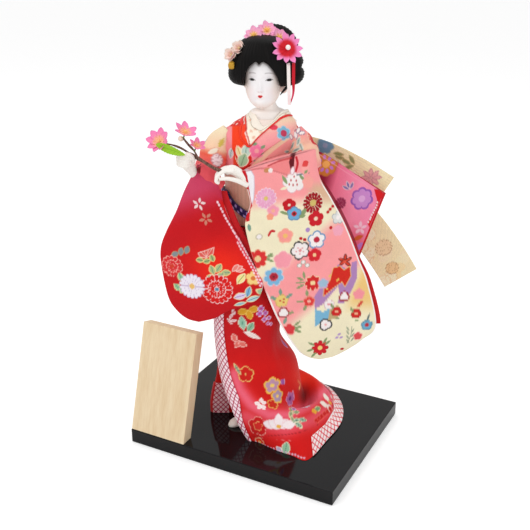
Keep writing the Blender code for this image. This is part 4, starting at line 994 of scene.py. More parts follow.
def sleeves():
    bag = Bag(LEFT_SLEEVE_ROWS, left_depth, 16.0, 2.6)
    left = Surface(bag.ring_grid(230, 145, 40, soft_fold), True, True)
    print_left_sleeve(left)
    scatter(left, PALE_KINDS, 21, 5, left.facing < -0.05)
    part = np.tile(bag.part, left.rows)
    column = np.tile(np.arange(left.cols), left.rows)
    low = ease(left.v, 176.0, 190.0)
    left.wash((196, 18, 36), ((column >= 147) & (column < 153)) * low)
    rim = ((column >= 144) & (column < 147)) * low
    rim = np.maximum(rim, np.clip((0.012 - part) / 0.005, 0.0, 1.0) * ease(left.v, 288.0, 300.0))
    left.wash((252, 244, 240), rim * (left.facing > 0.0))
    shape(left, ((245, 169.5), (251, 170.5), (254, 176), (254.4, 187), (253.6, 199), (251.5, 205), (249.6, 196),
                 (248, 184), (246.6, 175)), (250, 246, 250), (214, 206, 220), 0.8)
    shape(left, ((241, 171), (245.4, 170.5), (247.4, 176), (248.8, 186), (250.4, 197), (252.3, 206), (250.6, 209),
                 (249.4, 221), (246, 222), (245, 196), (240, 180)), (206, 20, 32))
    stroke(left, ((247.5, 190), (249.2, 203), (248.3, 212)), 1.2, (250, 236, 226))
    # painted shade: a darker line along the crease at the top of the sleeve
    stroke(left, ((246, 171), (262, 168.5), (276, 171.5), (288, 175.5)), 1.6, (196, 84, 88), 0.55)
    shape(left, ((262, 168), (290, 158), (292, 168), (290, 175), (277, 171)), (240, 128, 128), amount=0.75)
    spot(left, 267, 170, 3.0, 2.0, (206, 140, 92), 15)
    bloom(left, 270.5, 170.5, 2.2, (250, 236, 232), None, None)
    # painted shadow: a dark patch in the pinch at the elbow
    shape(left, ((291, 153), (296.5, 151), (294.5, 158), (294, 166), (290.5, 170), (289, 162)), (104, 18, 30))
    stroke(left, ((296, 157), (297.5, 164), (296, 172)), 2.2, (206, 36, 50))
    leaf(left, 292.5, 171, 4.5, 2.2, 80, (250, 232, 236), (214, 150, 160))
    stroke(left, ((268, 166), (280, 161), (291, 158)), 1.4, (196, 40, 46), 0.8)
    upper = limb(((27, 0, 364), (36, -3, 350), (41, -9, 335), (40, -16, 318)), (12.0, 16.0, 17.5, 16.0), 50, 64,
                 0.045, 4, PINK)
    cream = ease(upper.v, 128.0, 150.0) * (1.0 - ease(upper.v, 150.0, 172.0))
    upper.ground((250, 150, 150), ((246, 200, 170), cream))
    daisy(upper, 312, 138, 6, (226, 90, 80), (250, 200, 180), 12, None, 1)
    scatter(upper, PALE_KINDS, 17, 8, upper.facing < 0.05)
    spots(upper, 0, 0, ((299, 152), (303, 153.5), (307, 154.5), (311, 155)), 2.0, 1.5, (206, 34, 44))
    leaves(upper, ((292, 146, 60), (298, 142, 75), (301, 147, 110), (296, 150, 30)), 5.0, 1.5, (140, 166, 160),
           (224, 226, 210))
    leaves(upper, ((298, 130, 70), (302, 133, 30), (296, 135, 110)), 4.2, 2.0, (250, 240, 236), (150, 120, 150))
    puff = Surface(super_ball(at_pixel(302.5, 167.5, -37.0), (8.6, 7.0, 12.0), 32, 44, 2.1,
                              lambda x, y, z: 0.03 * np.sin(z * 0.9 + x * 0.4)), True, True, (252, 176, 164))
    # painted shade: the puff's pink darkens to red at its left rim
    puff.ground(ramp(puff.u + 0.15 * (puff.v - 167.0), ((293.5, (190, 50, 62)), (297, (244, 130, 136)),
                                                        (303, (255, 172, 166)), (311, (252, 166, 164)))))
    spot(puff, 306, 172, 2.2, 1.4, GREEN, 50)
    bloom(puff, 305, 163, 3.6, (226, 70, 70), None, None)
    pieces = [left.object("left_sleeve_cloth", CREPE), upper.object("left_upper_sleeve", CREPE),
              puff.object("left_elbow", CREPE)]
    cloth = stands_for(joined(pieces), "left_sleeve")

    right = Surface(Bag(RIGHT_SLEEVE_ROWS, right_depth, 13.0, 2.6).ring_grid(200, 135, 40, red_fold), True, True)
    print_right_sleeve(right)
    stroke(right, ((238, 238), (251, 261), (261, 284)), 4.2, (226, 60, 84), 0.8)
    beads(right, ((216, 199), (228, 222), (242, 245), (253, 264), (263, 286)), 1.3, 3.3, (252, 214, 226))
    beads(right, ((236, 240), (240, 247), (250.5, 265.5), (260, 286)), 1.2, 3.3, (252, 206, 218))
    scatter(right, RED_KINDS, 24, 6, right.facing < -0.25)
    shoulder = limb(((-41, 0, 363), (-55, -3, 349), (-62, -11, 334), (-68, -22, 324), (-76, -30, 322)),
                    (12.0, 15.5, 15.5, 14.5, 12.0), 50, 64, 0.04, 4, (250, 170, 150))
    shoulder.ground(ramp(shoulder.v - 0.25 * (shoulder.u - 210.0),
                         ((128, (247, 228, 192)), (148, (249, 206, 172)), (155, (238, 96, 74)),
                          (168, (240, 110, 120)), (190, (206, 64, 98)))))
    for px in (211.5, 214, 216.5):
        stroke(shoulder, ((px, 153), (px + 2, 158), (px + 3, 163)), 0.9, (236, 214, 228), 0.8)
    # painted shade: a dark patch on the shoulder above the forearm
    spot(shoulder, 219, 163, 4.5, 3.0, (110, 20, 24), 70, amount=0.8)
    leaf(shoulder, 213, 151, 6, 3.0, 20, (250, 240, 220), (236, 170, 140))
    leaf(shoulder, 222, 143, 5, 2.4, 60, (214, 190, 90), None)
    daisy(shoulder, 218, 160, 6, (244, 224, 226), (200, 150, 160), 10, None, 1)
    scatter(shoulder, PALE_KINDS, 17, 9, shoulder.facing < 0.0)
    cuff = limb((at_pixel(200.5, 166.5, -41.0), at_pixel(209, 175.0, -38.0), at_pixel(218.5, 186.5, -34.0)),
                (6.0, 8.5, 9.0), 34, 48, 0.03, 3, (230, 84, 94))
    # the red lining with painted shade: dark red inside the cuff's opening
    shape(cuff, ((192, 172), (193.5, 175), (198.3, 164.5), (201, 163), (200.5, 172), (193, 186)), (120, 12, 20))
    pieces = [right.object("right_sleeve_cloth", CREPE), shoulder.object("right_upper_sleeve", CREPE),
              cuff.object("right_cuff", CREPE)]
    cloth = stands_for(joined(pieces), "right_sleeve")


sleeves()


# Skirt: rails from the waist to the hem, first the front edge, then round by the viewer's right

SKIRT_RAILS = np.array((
    ((-46, -16, 262), (-58, -20, 205), (-62, -20, 148), (-61, -20, 112), (-57, -25, 80),
     (-50, -33, 56), (-43, -42, 40), (-34, -50, 20), (-23, -54, 0.4)),
    ((-36, -25, 262), (-47, -31, 205), (-51, -32, 148), (-49, -33, 112), (-44, -37, 80),
     (-36, -44, 58), (-29, -51, 43), (-20, -58, 22), (-10, -62, 0.4)),
    ((-17, -28, 262), (-20, -35, 205), (-22, -37, 148), (-20, -38, 112), (-16, -41, 82),
     (-10, -46, 56), (-5, -57, 44), (1, -66, 20), (8, -76, 0.4)),
    ((1, -26, 262), (3, -32, 205), (1, -34, 148), (2, -34, 112), (9, -36, 80),
     (14, -37, 46), (20, -54, 38), (24, -72, 17), (28, -88, 0.4)),
    ((12, -21, 262), (15, -25, 205), (11, -26, 148), (10, -24, 110), (22, -24, 79),
     (30, -21, 26), (43, -39, 32), (45, -72, 13), (46, -97, 0.4)),
    ((17, -15, 262), (21, -17, 205), (15, -17, 148), (14, -15, 110), (31, -12, 78),
     (41, -7, 15), (57, -19, 27), (64, -48, 11), (67, -64, 0.4)),
    ((20, -7, 262), (24, -8, 205), (17, -8, 148), (16, -5, 110), (35, 2, 79),
     (48, 10, 14), (66, 3, 23), (82, -10, 9), (92, -16, 0.4)),
    ((21, 4, 262), (25, 6, 205), (18, 6, 148), (15, 8, 110), (34, 15, 80),
     (46, 24, 24), (62, 33, 32), (82, 34, 13), (94, 33, 0.4)),
    ((15, 17, 262), (19, 21, 205), (13, 22, 148), (14, 25, 110), (24, 34, 82),
     (34, 43, 46), (46, 53, 35), (60, 67, 14), (72, 80, 0.4)),
    ((0, 26, 262), (1, 32, 205), (-1, 34, 148), (-1, 39, 112), (3, 49, 82),
     (9, 59, 57), (15, 69, 37), (23, 80, 16), (29, 90, 0.4)),
    ((-19, 27, 262), (-21, 34, 205), (-23, 36, 148), (-23, 41, 112), (-21, 47, 82),
     (-20, 53, 56), (-20, 59, 37), (-20, 65, 16), (-20, 71, 0.4)),
    ((-38, 20, 262), (-43, 25, 205), (-47, 25, 148), (-48, 28, 112), (-50, 31, 82),
     (-51, 34, 56), (-52, 37, 37), (-53, 40, 16), (-54, 42, 0.4)),
    ((-47, 7, 262), (-56, 7, 205), (-60, 7, 148), (-60, 7, 112), (-61, 8, 82),
     (-64, 9, 54), (-68, 9, 34), (-71, 9.5, 15), (-71, 9.5, 0.4)),
    ((-49, -2, 262), (-58, -4, 205), (-62, -5, 148), (-60, -5, 112), (-52, -4, 82),
     (-45, 0, 55), (-41, 2, 36), (-39, 3, 16), (-38, 3, 0.4)),
    ((-48, -9, 262), (-59, -12, 205), (-62.5, -13, 148), (-60, -14, 112), (-53, -17, 80),
     (-40, -21, 55), (-30, -26, 38), (-22, -31, 18), (-16, -35, 0.4)),
), float)


def skirt_at(around, down):
    """Skirt points where around counts rails and down counts the points of a rail."""
    rows = spline_at(SKIRT_RAILS.transpose(1, 0, 2), np.asarray(down, float))
    grid = spline_at(rows.transpose(1, 0, 2), np.mod(np.asarray(around, float), len(SKIRT_RAILS)), True)
    return grid.transpose(1, 0, 2)


def outward(grid):
    along = np.gradient(grid, axis=0)
    across = np.gradient(grid, axis=1)
    normal = np.cross(along, across)
    return normal / np.maximum(np.linalg.norm(normal, axis=2, keepdims=True), 1e-9)


ROLL_LINE = ((234, 374), (240, 390), (251, 405), (269, 415), (288, 415), (306, 406), (322, 394), (334, 384))
LOW_LINE = ((246, 416), (262, 424), (285, 430), (312, 420), (330, 408))
STRIP_GAP = 0.5
STRIP_THICK = 1.5
HEM_SEAM = ((254, 436), (275, 436), (300, 432), (318, 424))


def print_and_shade_skirt(s):
    u, v = s.u, s.v
    roll = np.exp(-(distance_to(u, v, ROLL_LINE) / 7.5) ** 2)
    low = np.exp(-(distance_to(u, v, LOW_LINE) / 9.0) ** 2) * 0.75
    side = ease(u, 318.0, 330.0) * (1.0 - ease(v, 395.0, 415.0)) * ease(v, 366.0, 380.0)
    s.ground((196, 14, 22), ((212, 16, 14), ease(v, 335.0, 368.0)),
             ((238, 52, 30), hill(u, v, 306.0, 378.0, 14.0, 12.0)),
             ((240, 100, 122), np.maximum(np.maximum(roll, low), side)),
             # painted shade: the darkest red in the hollow behind the hem's roll
             ((110, 4, 8), 0.9 * hill(u, v, 304.0, 395.0, 5.0, 9.0)))
    spray(s, 248, 310, 5.4, 5.4, (200, 285, 370), 5.4, 3.24, (222, 160, 40), (240, 200, 90))
    for k, (px, py) in enumerate(((261, 309), (260, 314), (265, 313), (264, 319), (269, 318), (268, 323),
                                  (271, 324))):
        bloom(s, px, py, 3.4 - 0.25 * k, (196, 120, 200), (238, 220, 240), (190, 30, 60), 4, 0.3, 0.6)
    leaves(s, ((231, 316, 60), (234, 321, 10), (230, 321, 130), (233, 312, 100)), 3.6, 1.2, (220, 150, 150),
           (244, 220, 220))
    leaf(s, 242, 323, 7.5, 4.0, 100, (150, 196, 170), (220, 226, 200), (70, 130, 110))
    leaf(s, 251, 327, 6, 3.6, 60, (140, 184, 150), (214, 220, 196), (70, 120, 100))
    leaf(s, 252, 335, 9, 2.4, -25, (240, 220, 214), (250, 240, 236))
    leaves(s, ((234, 338, 110), (237, 344, 60), (243, 344, -20)), 4.6, 3.0, (226, 110, 100), (246, 190, 180))
    leaf(s, 284, 342, 7.5, 3.4, 5, (150, 70, 150), (210, 170, 210))
    bloom(s, 245, 374, 8.5, (208, 26, 20), (238, 190, 110), (240, 200, 120), 5, 0.25, 0.9, heart_size=0.12)
    leaf(s, 237, 369, 7, 1.6, -60, (120, 150, 130), (220, 200, 140))
    bloom(s, 272, 385, 9, (196, 150, 180), (246, 196, 90), (250, 214, 110), 5, 0.3, 2.0, heart_size=0.25)
    bloom(s, 277, 396, 7.5, (178, 150, 180), (240, 190, 90), (250, 214, 110), 5, 0.3, 1.8, heart_size=0.25)
    bloom(s, 273, 404, 6, (206, 40, 20), (236, 180, 90), None, 5, 0.3, 0.9)
    leaf(s, 283, 381, 4.6, 3.0, 130, (160, 90, 170), (236, 190, 210))
    bloom(s, 290, 399, 8, (176, 100, 160), (226, 160, 190), (120, 40, 110), 6, 0.3, 0.9, turn=0.3)
    spray(s, 261, 404, 3.6, 3.6, range(20, 380, 72), 2.8, 1.9, (248, 226, 226), (250, 244, 240))
    stroke(s, ((299, 382), (302, 385), (300, 389)), 0.8, (246, 190, 120))
    # camellias and leaves along the hem
    leaves(s, ((291, 414, 70), (296, 412, 30), (293, 419, 120), (291, 409, 100)), 4.4, 2.2, (150, 160, 120),
           (226, 214, 170))
    leaf(s, 294, 409, 3.6, 2.2, 60, (170, 110, 180), (226, 190, 226))
    spray(s, 330, 402, 6, 6, range(54, 414, 72), 5.6, 4.2, (250, 238, 226), (244, 214, 206))
    spot(s, 330, 402, 2.6, 2.2, (240, 176, 50))
    leaf(s, 318, 409, 6.5, 2.8, 50, (120, 160, 110), (220, 210, 150))
    leaf(s, 314, 411, 4.0, 3.0, 30, (236, 170, 50))
    bloom(s, 258, 426, 10.5, (206, 22, 26), (240, 160, 150), (250, 180, 90), 5, 0.25, 0.7)
    bloom(s, 258, 426, 5, (216, 40, 36), (240, 170, 110), None, 5, 0.3, 0.6)
    for dx, angle in ((-9, 170), (-4, 150), (5, 30), (10, 8), (0, 90)):
        leaf(s, 279 + dx, 424 - (3 if angle == 90 else 0), 7.5, 4.6, angle, (250, 236, 238), (244, 206, 212))
    spot(s, 279, 427, 2.6, 2.0, (238, 180, 80))
    leaves(s, ((297, 421, 30), (303, 420, 5), (299, 425, -30)), 5, 2.6, (150, 184, 160), (226, 226, 190),
           (60, 110, 90))
    for k in range(6):
        leaf(s, 317 + 2.6 * k, 421 - 2.4 * k, 4.5, 2.8, 20 + 12 * k, (210, 22, 20), (236, 90, 80))
    stroke(s, HEM_SEAM, 0.8, (150, 20, 30), 0.7)
    stroke(s, ((262, 438), (290, 441), (316, 440)), 0.6, (240, 130, 130), 0.6)
    bloom(s, 260, 442, 5.5, (232, 50, 20), (246, 190, 150), (246, 190, 90))
    leaf(s, 286, 448, 7, 4.4, 80, (150, 196, 160), (236, 226, 200), (50, 110, 90))
    leaf(s, 279, 449, 4, 2.4, 150, (190, 170, 200), (236, 226, 220))
    beads(s, ((252, 444), (276, 449.5), (306, 458.5)), 1.1, 3.0, (226, 190, 214))


def lattice(s, across, along, cell_x, cell_y, ground, line, share=0.16):
    """Crossed slanting lines over a strip, with across and along in millimetres for each point."""
    first = np.mod(across / cell_x + along / cell_y, 1.0)
    second = np.mod(across / cell_x - along / cell_y, 1.0)
    near = np.minimum(np.minimum(first, 1.0 - first), np.minimum(second, 1.0 - second))
    amount = np.clip((share - near) / 0.06 + 0.5, 0.0, 1.0)[:, None]
    s.tint = linear(ground) * (1.0 - amount) + linear(line) * amount


def skirt_strip(around, down, turned=False, narrow=None):
    """A flat strip of cloth over part of the skirt, as one closed thin sheet."""
    grid = skirt_at(around, down)
    if narrow is not None:
        keep = np.interp(down, *narrow)
        place = np.linspace(0.0, 1.0, grid.shape[1])
        for row in range(len(grid)):
            grid[row] = np.stack([np.interp(place * keep[row], place, grid[row, :, k].copy()) for k in range(3)],
                                 axis=-1)
    normal = outward(grid)
    top = grid + normal * (STRIP_GAP + STRIP_THICK)
    foot = grid + normal * STRIP_GAP
    back = np.round(np.linspace(grid.shape[1] - 1, 0, max(grid.shape[1] // 7, 6))).astype(int)
    ring = np.concatenate((top, foot[:, back]), axis=1)
    ring[..., 2] = np.maximum(ring[..., 2], 0.3)
    s = Surface(ring, True, True)
    run = np.cumsum(np.linalg.norm(np.diff(grid, axis=0, prepend=grid[:1]), axis=2), axis=0)
    wide = np.cumsum(np.linalg.norm(np.diff(grid, axis=1, prepend=grid[:, :1]), axis=2), axis=1)
    if turned:
        wide = wide.mean(axis=0, keepdims=True) + 0.0 * wide
    else:
        run = run.mean(axis=1, keepdims=True) + 0.0 * run
    run = np.concatenate((run, run[:, back]), axis=1).ravel()
    wide = np.concatenate((wide, wide[:, back]), axis=1).ravel()
    return s, wide, run


def skirt():
    around = np.concatenate((np.linspace(0.0, 8.5, 180, endpoint=False),
                             np.linspace(8.5, 15.0, 50, endpoint=False)))
    run = (0.0, 57.0, 114.0, 150.0, 182.0, 208.0, 228.0, 253.0, 273.0)
    grid = skirt_at(around, np.interp(np.linspace(0.0, 273.0, 225), run, np.arange(9)))
    grid[..., 2] = np.maximum(grid[..., 2], 0.3)
    height = grid[..., 2]
    pull = np.sin(grid[..., 0] / 7.0 + height / 22.0) * ease(height, 60.0, 110.0) * 0.5
    grid[..., 1] += pull
    s = Surface(grid, True, True, (176, 12, 20))
    print_and_shade_skirt(s)
    scatter(s, RED_KINDS, 26, 4, (s.facing < -0.1) & (s.local[:, 2] < 190.0))
    sheet(s, "skirt_cloth", CREPE, "kimono_skirt", ends=False)

    s, wide, run = skirt_strip(np.linspace(0.0, 1.0, 46), np.linspace(1.7, 8.0, 340),
                               narrow=((5.4, 6.8, 8.0), (1.0, 0.6, 0.42)))
    lattice(s, wide, run, 6.0, 8.4, (253, 230, 238), (184, 36, 82), 0.11)
    sheet(s, "front_edge_lattice", LINING, "lattice_front_edge")
    s, wide, run = skirt_strip(np.linspace(4.0 + 1.0 / 3.0, 8.0 - 1.0 / 3.0, 250), np.linspace(7.0, 8.0, 60), True)
    lattice(s, wide, run, 9.5, 9.0, (255, 240, 240), (232, 50, 70), 0.11)
    sheet(s, "hem_lattice", LINING, "lattice_hem_band")
    s, wide, run = skirt_strip(np.linspace(12.0, 12.7, 40), np.linspace(5.5, 8.0, 100))
    lattice(s, wide, run, 6.4, 7.0, (252, 214, 222), (190, 36, 80), 0.13)
    s.wash((214, 24, 32), (1.0 - ease(wide, 3.0, 3.6)))
    sheet(s, "under_hem_lattice", LINING, "under_hem")


skirt()


# Trunk: height above the skirt's top, centre and half sizes

TRUNK = (
    (0.0, -14.0, 0.0, 34.0, 26.5), (30.0, -14.0, 0.0, 34.5, 26.5), (61.0, -13.5, 0.0, 35.5, 27.5),
    (78.0, -12.0, 0.0, 38.0, 29.0), (93.0, -10.0, 0.0, 42.0, 28.5), (104.0, -7.0, 1.0, 42.0, 25.0),
    (114.0, -2.0, 2.0, 31.0, 20.0), (120.0, 1.0, 3.0, 23.5, 17.0), (126.0, 2.0, 3.5, 19.0, 15.5),
    (132.0, 2.0, 4.0, 17.0, 14.5),
)
TRUNK_CURVE = spline(TRUNK, 200)
WAIST = 262.0


def trunk_at(angle, height, out):
    """Trunk points for angles from the front, heights above the waist and distances out."""
    angle, height, out = np.broadcast_arrays(np.radians(angle), height, out)
    table = [np.interp(height, TRUNK_CURVE[:, 0], TRUNK_CURVE[:, k]) for k in range(1, 5)]
    x = table[0] + (table[2] + out) * np.sin(angle)
    y = table[1] - (table[3] + out) * np.cos(angle)
    return np.stack((x, y, WAIST + height), axis=-1)


def edge_at(edge, angle, drop=0.0):
    turned = sorted((a % 360.0, h) for a, h in edge)
    a = np.array([t[0] for t in turned])
    h = np.array([t[1] for t in turned])
    a = np.concatenate((a - 360.0, a, a + 360.0))
    raw = np.interp(np.mod(angle, 360.0), a, np.tile(h, 3))
    soft = sum(np.interp(np.mod(angle + step, 360.0), a, np.tile(h, 3)) for step in (3.0, -3.0))
    return (raw * 2.0 + soft) / 4.0 - drop


NECK_EDGE = ((357, 112.3), (6, 116.2), (14, 119.5), (22, 122.8), (30, 125), (40, 126.8), (60, 127.8), (86, 127.3),
             (120, 123.5), (180, 122.5), (240, 123.5), (270, 126), (315, 123.5), (340, 118))
INNER_EDGE = ((357, 108.5), (6, 114.3), (14, 118), (22, 121), (30, 123.2), (40, 124.8), (60, 125.5), (86, 125.3),
              (120, 121.5), (180, 120.5), (240, 121.5), (270, 123.6), (315, 119), (338, 112))
WIDE_EDGE = ((347, 92.5), (357, 104.3), (6, 112.3), (14, 116.4), (22, 119.3), (30, 121.3), (40, 122.5),
             (60, 123.2), (90, 121.5), (120, 118.6), (180, 117.8), (240, 118.2), (270, 119.6), (308, 115.5),
             (325, 108), (338, 98))
KIMONO_EDGE = ((341, 68), (350, 74), (10, 88), (38, 102), (60, 110), (90, 113), (180, 112), (270, 112),
               (296, 107), (318, 90), (332, 70))
CORD_EDGE = ((0, 15), (60, 12), (120, 16), (180, 24), (240, 34), (270, 39), (300, 38), (320, 27), (343, 18))


def band(upper, lower, out, thick, steps=6, colour=CREAM, turns=240):
    """A band round the trunk with rounded edges, its section running round from the outside."""
    angle = np.linspace(-180.0, 180.0, turns)[:, None]
    share = np.concatenate((np.linspace(0.0, 1.0, steps), np.linspace(1.0, 0.0, steps)))[None, :]
    near = np.concatenate((np.ones(steps), np.zeros(steps)))[None, :]
    low, high = lower(angle), upper(angle)
    roll = 0.45 * thick * (np.sin(math.pi * share) ** 0.5) * near
    points = trunk_at(angle, low + (high - low) * share, out + near * thick + roll)
    return Surface(points, True, True, colour=colour)


def print_and_shade_bodice(s):
    u, v = s.u, s.v
    low = ease(v - 0.35 * (250.0 - u), 158.0, 162.0) * ease(252.0 - u, 0.0, 2.0)
    s.ground(ramp(v + 0.25 * (u - 270.0), ((118, (253, 234, 200)), (132, (254, 196, 184)), (150, (252, 160, 166)),
                                           (170, (250, 156, 162)))),
             ((238, 70, 44), ease(248.0 - u, 0.0, 1.0) * ease(v, 120.0, 124.0)),
             ((248, 150, 158), ease(234.0 - u, 0.0, 1.5)), ((208, 26, 26), low))
    # the overlapping front and its lower layer
    shape(s, ((286, 137), (300, 150), (296, 168), (246, 172), (256, 160), (272, 147)), (250, 158, 154),
          amount=0.85)
    # painted highlight: a cream band along the raised edge of the overlapping front
    stroke(s, ((290, 136), (277, 145.5), (264, 156), (252, 168)), 4.5, (248, 214, 178), 0.85)
    shape(s, ((284, 158), (288, 170), (262, 172), (258, 166), (268, 160)), (240, 120, 120), amount=0.8)
    # painted shadow: a darker line along the overlapping front's edge
    stroke(s, ((288, 135), (276, 143), (262, 154), (246, 169)), 1.0, (224, 160, 130))
    for k in range(5):
        spot(s, 268 + 3.6 * k, 160.5 - 0.9 * k, 2.4, 2.0, (204, 40, 50))
    spot(s, 268, 167, 2.2, 1.8, (250, 232, 220))
    spot(s, 260, 167, 1.8, 1.4, (196, 130, 90))
    bloom(s, 256.5, 151, 7, (246, 120, 160), (250, 160, 180), (250, 170, 170))
    leaves(s, ((255, 144, 0), (263, 147, 30), (262, 153, 60), (254, 159, 100)), 2.6, 1.5, (130, 160, 120))
    spot(s, 273.5, 127, 4.0, 2.6, (236, 70, 90))
    bloom(s, 284, 133, 7, (124, 184, 214), (170, 210, 226), (196, 60, 90), 6, 0.3, heart_size=0.45)
    leaves(s, ((291, 137, 120), (296, 133, 90), (300, 129, 50), (303, 126, 30)), 3.4, 1.7, (250, 236, 230),
           (150, 120, 150))
    leaves(s, ((295, 142, 60), (298, 147, 80), (292, 150, 130), (287, 152, 150)), 4.0, 1.5, (140, 160, 160),
           (210, 214, 200))
    leaf(s, 231, 153, 6, 3.0, 75, (206, 214, 214), (244, 236, 230), (120, 140, 150))
    leaf(s, 243.5, 157, 11.0, 8.5, 66, (206, 220, 196), (246, 234, 190), (110, 150, 124))
    leaf(s, 240, 157, 5.5, 2.6, 110, (170, 190, 186), (246, 200, 130), (90, 120, 120))
    leaf(s, 249, 152, 5.0, 2.4, 40, (214, 222, 170), (244, 226, 170))


def print_collar(s):
    u, v = s.u, s.v
    s.ground(ramp(v + 0.2 * (u - 270.0), ((112, (253, 234, 200)), (124, (253, 216, 188)), (134, (253, 170, 168)),
                                          (150, (252, 152, 162)))),
             ((250, 66, 26), ease(248.6 - u, 0.0, 0.8)),
             ((248, 150, 158), ease(232.5 - u, 0.0, 1.0) * ease(v, 125.0, 127.0)),
             ((226, 50, 44), ease(248.0 - u, 0.0, 0.8) * (1.0 - ease(v, 125.0, 127.0))))
    spots(s, 0, 0, ((243, 113), (239, 116), (236, 119), (240, 120), (234, 123), (243, 118), (237, 124)), 1.5, 0.9,
          (250, 220, 210), 45)
    stroke(s, ((244, 112), (243.6, 120), (244.6, 132), (248.5, 145)), 1.3, (250, 232, 220))
    s.wash((226, 40, 36), ease(v, 149.0, 152.0) * (u < 252.0) * (s.facing > 0.0))
    leaf(s, 239.5, 152.5, 6.5, 3.6, 112, (248, 226, 170), (252, 244, 220), (206, 160, 90))
    leaf(s, 245.5, 151.5, 7.5, 4.6, 78, (196, 222, 206), (252, 244, 220), (90, 140, 124))
    leaf(s, 243.0, 160.0, 7.5, 5.2, 70, (170, 202, 160), (252, 244, 220), (80, 126, 96))
    bloom(s, 256.5, 151, 7, (246, 120, 160), (250, 160, 180), (250, 170, 170))
    spot(s, 273.5, 127, 4.0, 2.6, (236, 70, 90))
    bloom(s, 284, 133, 7, (124, 184, 214), (170, 210, 226), (196, 60, 90), 6, 0.3, heart_size=0.45)
    leaf(s, 255, 144, 2.6, 1.5, 0, (130, 160, 120))
    leaf(s, 263, 147, 2.6, 1.5, 30, (130, 160, 120))


def trunk():
    angle = np.linspace(0.0, 360.0, 200, endpoint=False)[None, :]
    height = np.linspace(0.3, 61.0, 40)[:, None]
    # painted shade: the sash front's gold brocade is tinted a darker tan
    s = Surface(trunk_at(angle, height, 0.0), True, colour=(228, 180, 156))
    rib = np.sin(np.radians(angle) * 45.0 + 0.0 * height).ravel()
    s.tint *= (1.0 + 0.06 * rib)[:, None]
    scatter(s, (kind_daisy((206, 170, 130), (226, 196, 150), None, 6),), 22, 3, s.facing < 0.3)
    stands_for(s.object("sash_front", BROCADE), "sash_band")

    height = np.linspace(61.3, 114.0, 82)[:, None]
    angle = np.linspace(0.0, 360.0, 216, endpoint=False)[None, :]
    crease = 0.6 * np.sin(height / 3.6 + np.radians(angle) * 3.0) * np.exp(-((angle - 330.0) / 26.0) ** 2)
    s = Surface(trunk_at(angle, height, crease), True)
    print_and_shade_bodice(s)
    scatter(s, PALE_KINDS, 18, 2, s.facing < 0.0)
    stands_for(s.object("bodice_cloth", CREPE), "kimono_bodice")

    s = band(lambda a: edge_at(NECK_EDGE, a), lambda a: edge_at(INNER_EDGE, a), 0.6, 1.0, 8, (252, 242, 228))
    sheet(s, "inner_collar_cloth", LINING, "inner_collar",
          ends=False)
    s = band(lambda a: edge_at(INNER_EDGE, a, 0.3), lambda a: edge_at(WIDE_EDGE, a), 0.6, 1.3, 12, (255, 245, 226))
    for px, py in ((251, 120), (256, 128), (262, 134), (270, 126), (279, 119), (251, 131), (254, 138), (286, 115)):
        bloom(s, px, py, 1.8, (244, 206, 180), None, (236, 170, 150))
    angles = np.repeat(np.linspace(-180.0, 180.0, 240), 24)
    rim = (np.abs(angles + 25.0) < 45.0) & (s.facing < 0.2) & (s.u < 244.6)
    s.tint[rim] = linear((250, 66, 26))
    shape(s, ((236, 106), (248.4, 106), (245.9, 115), (246.0, 123), (246.8, 132.6), (248.2, 139.5), (250.2, 146),
              (250, 150), (236, 150)), (250, 66, 26))
    shape(s, ((236, 106), (247.0, 106), (244.9, 115), (245.0, 125), (236, 125)), (226, 50, 44))
    stroke(s, ((244.2, 113), (244.0, 118), (244.3, 123.5)), 1.1, (250, 232, 220))
    stroke(s, ((244.9, 132.5), (246.4, 138), (248.6, 143.5)), 1.1, (250, 232, 220))
    stroke(s, ((247.6, 108.5), (245.9, 115), (246.0, 123), (246.8, 132.6), (248.2, 139.5), (250.4, 146)), 1.2,
           (206, 36, 40))
    sheet(s, "wide_collar_cloth", LINING, "embroidered_collar",
          ends=False)
    s = band(lambda a: edge_at(WIDE_EDGE, a, 0.3), lambda a: edge_at(WIDE_EDGE, a, 2.0), 0.6, 1.6, 8,
             (244, 52, 48))
    s.wash((248, 62, 30), ease(248.0 - s.u, 0.0, 1.5) * (s.facing > 0.0) * ease(s.v, 122.0, 125.0))
    sheet(s, "piping_cloth", LINING, "collar_piping", ends=False)
    s = band(lambda a: edge_at(WIDE_EDGE, a, 2.3), lambda a: edge_at(KIMONO_EDGE, a), 0.6, 1.1, 28, turns=320)
    print_collar(s)
    sheet(s, "kimono_collar_cloth", CREPE, "kimono_collar",
          ends=False)
    s = band(lambda a: edge_at(CORD_EDGE, a) + 1.5, lambda a: edge_at(CORD_EDGE, a, 7.5), 0.6, 2.8, 11,
             (38, 18, 84), 480)
    cols = np.tile(np.arange(22), 480)
    wave = np.repeat(np.arange(480), 22) / 480.0 * math.tau * 34.0
    upper = (np.sin(wave) > 0.35) & (np.abs(cols - 3) < 1.2)
    lower = (np.sin(wave + math.pi) > 0.35) & (np.abs(cols - 8) < 1.2)
    dots = upper | lower
    s.tint[dots] = linear((176, 160, 224))
    sheet(s, "dotted_cord", LINING, "sash_cord", ends=False)


trunk()


# The left sleeve's rear panel, the linings and the sash behind

def edge_strip(rows, depth, thick, edge, first, last, reach):
    """A thin red lining against a panel's back that shows past its far edge, as one closed sheet."""
    table = spline_at(np.array(rows, float), np.linspace(first / 2.0, (last - 1) / 2.0, 90))
    part = np.concatenate((np.linspace(0.7, 1.0, 14), np.full(5, 1.0)))[None, :]
    beyond = np.concatenate((np.zeros(14), np.linspace(0.2, 1.0, 5)))[None, :] * np.interp(
        np.linspace(0.0, 1.0, 90), np.linspace(0.0, 1.0, len(reach)), reach)[:, None]
    x1, z1, x2, z2, share = columns(table, 5)
    x = x1 + (x2 - x1) * part
    z = z1 + (z2 - z1) * part
    extra = np.maximum(thick * share - edge, 0.0) * np.sin(math.pi * part) ** 0.7
    y = depth(x) + 0.65 * extra + edge + 0.6
    grid = np.stack((x + beyond, y, z), axis=-1)
    back = grid[:, ::-1].copy()
    back[..., 1] += 1.2
    return Surface(np.concatenate((grid, back), axis=1), True, True, (206, 20, 30))


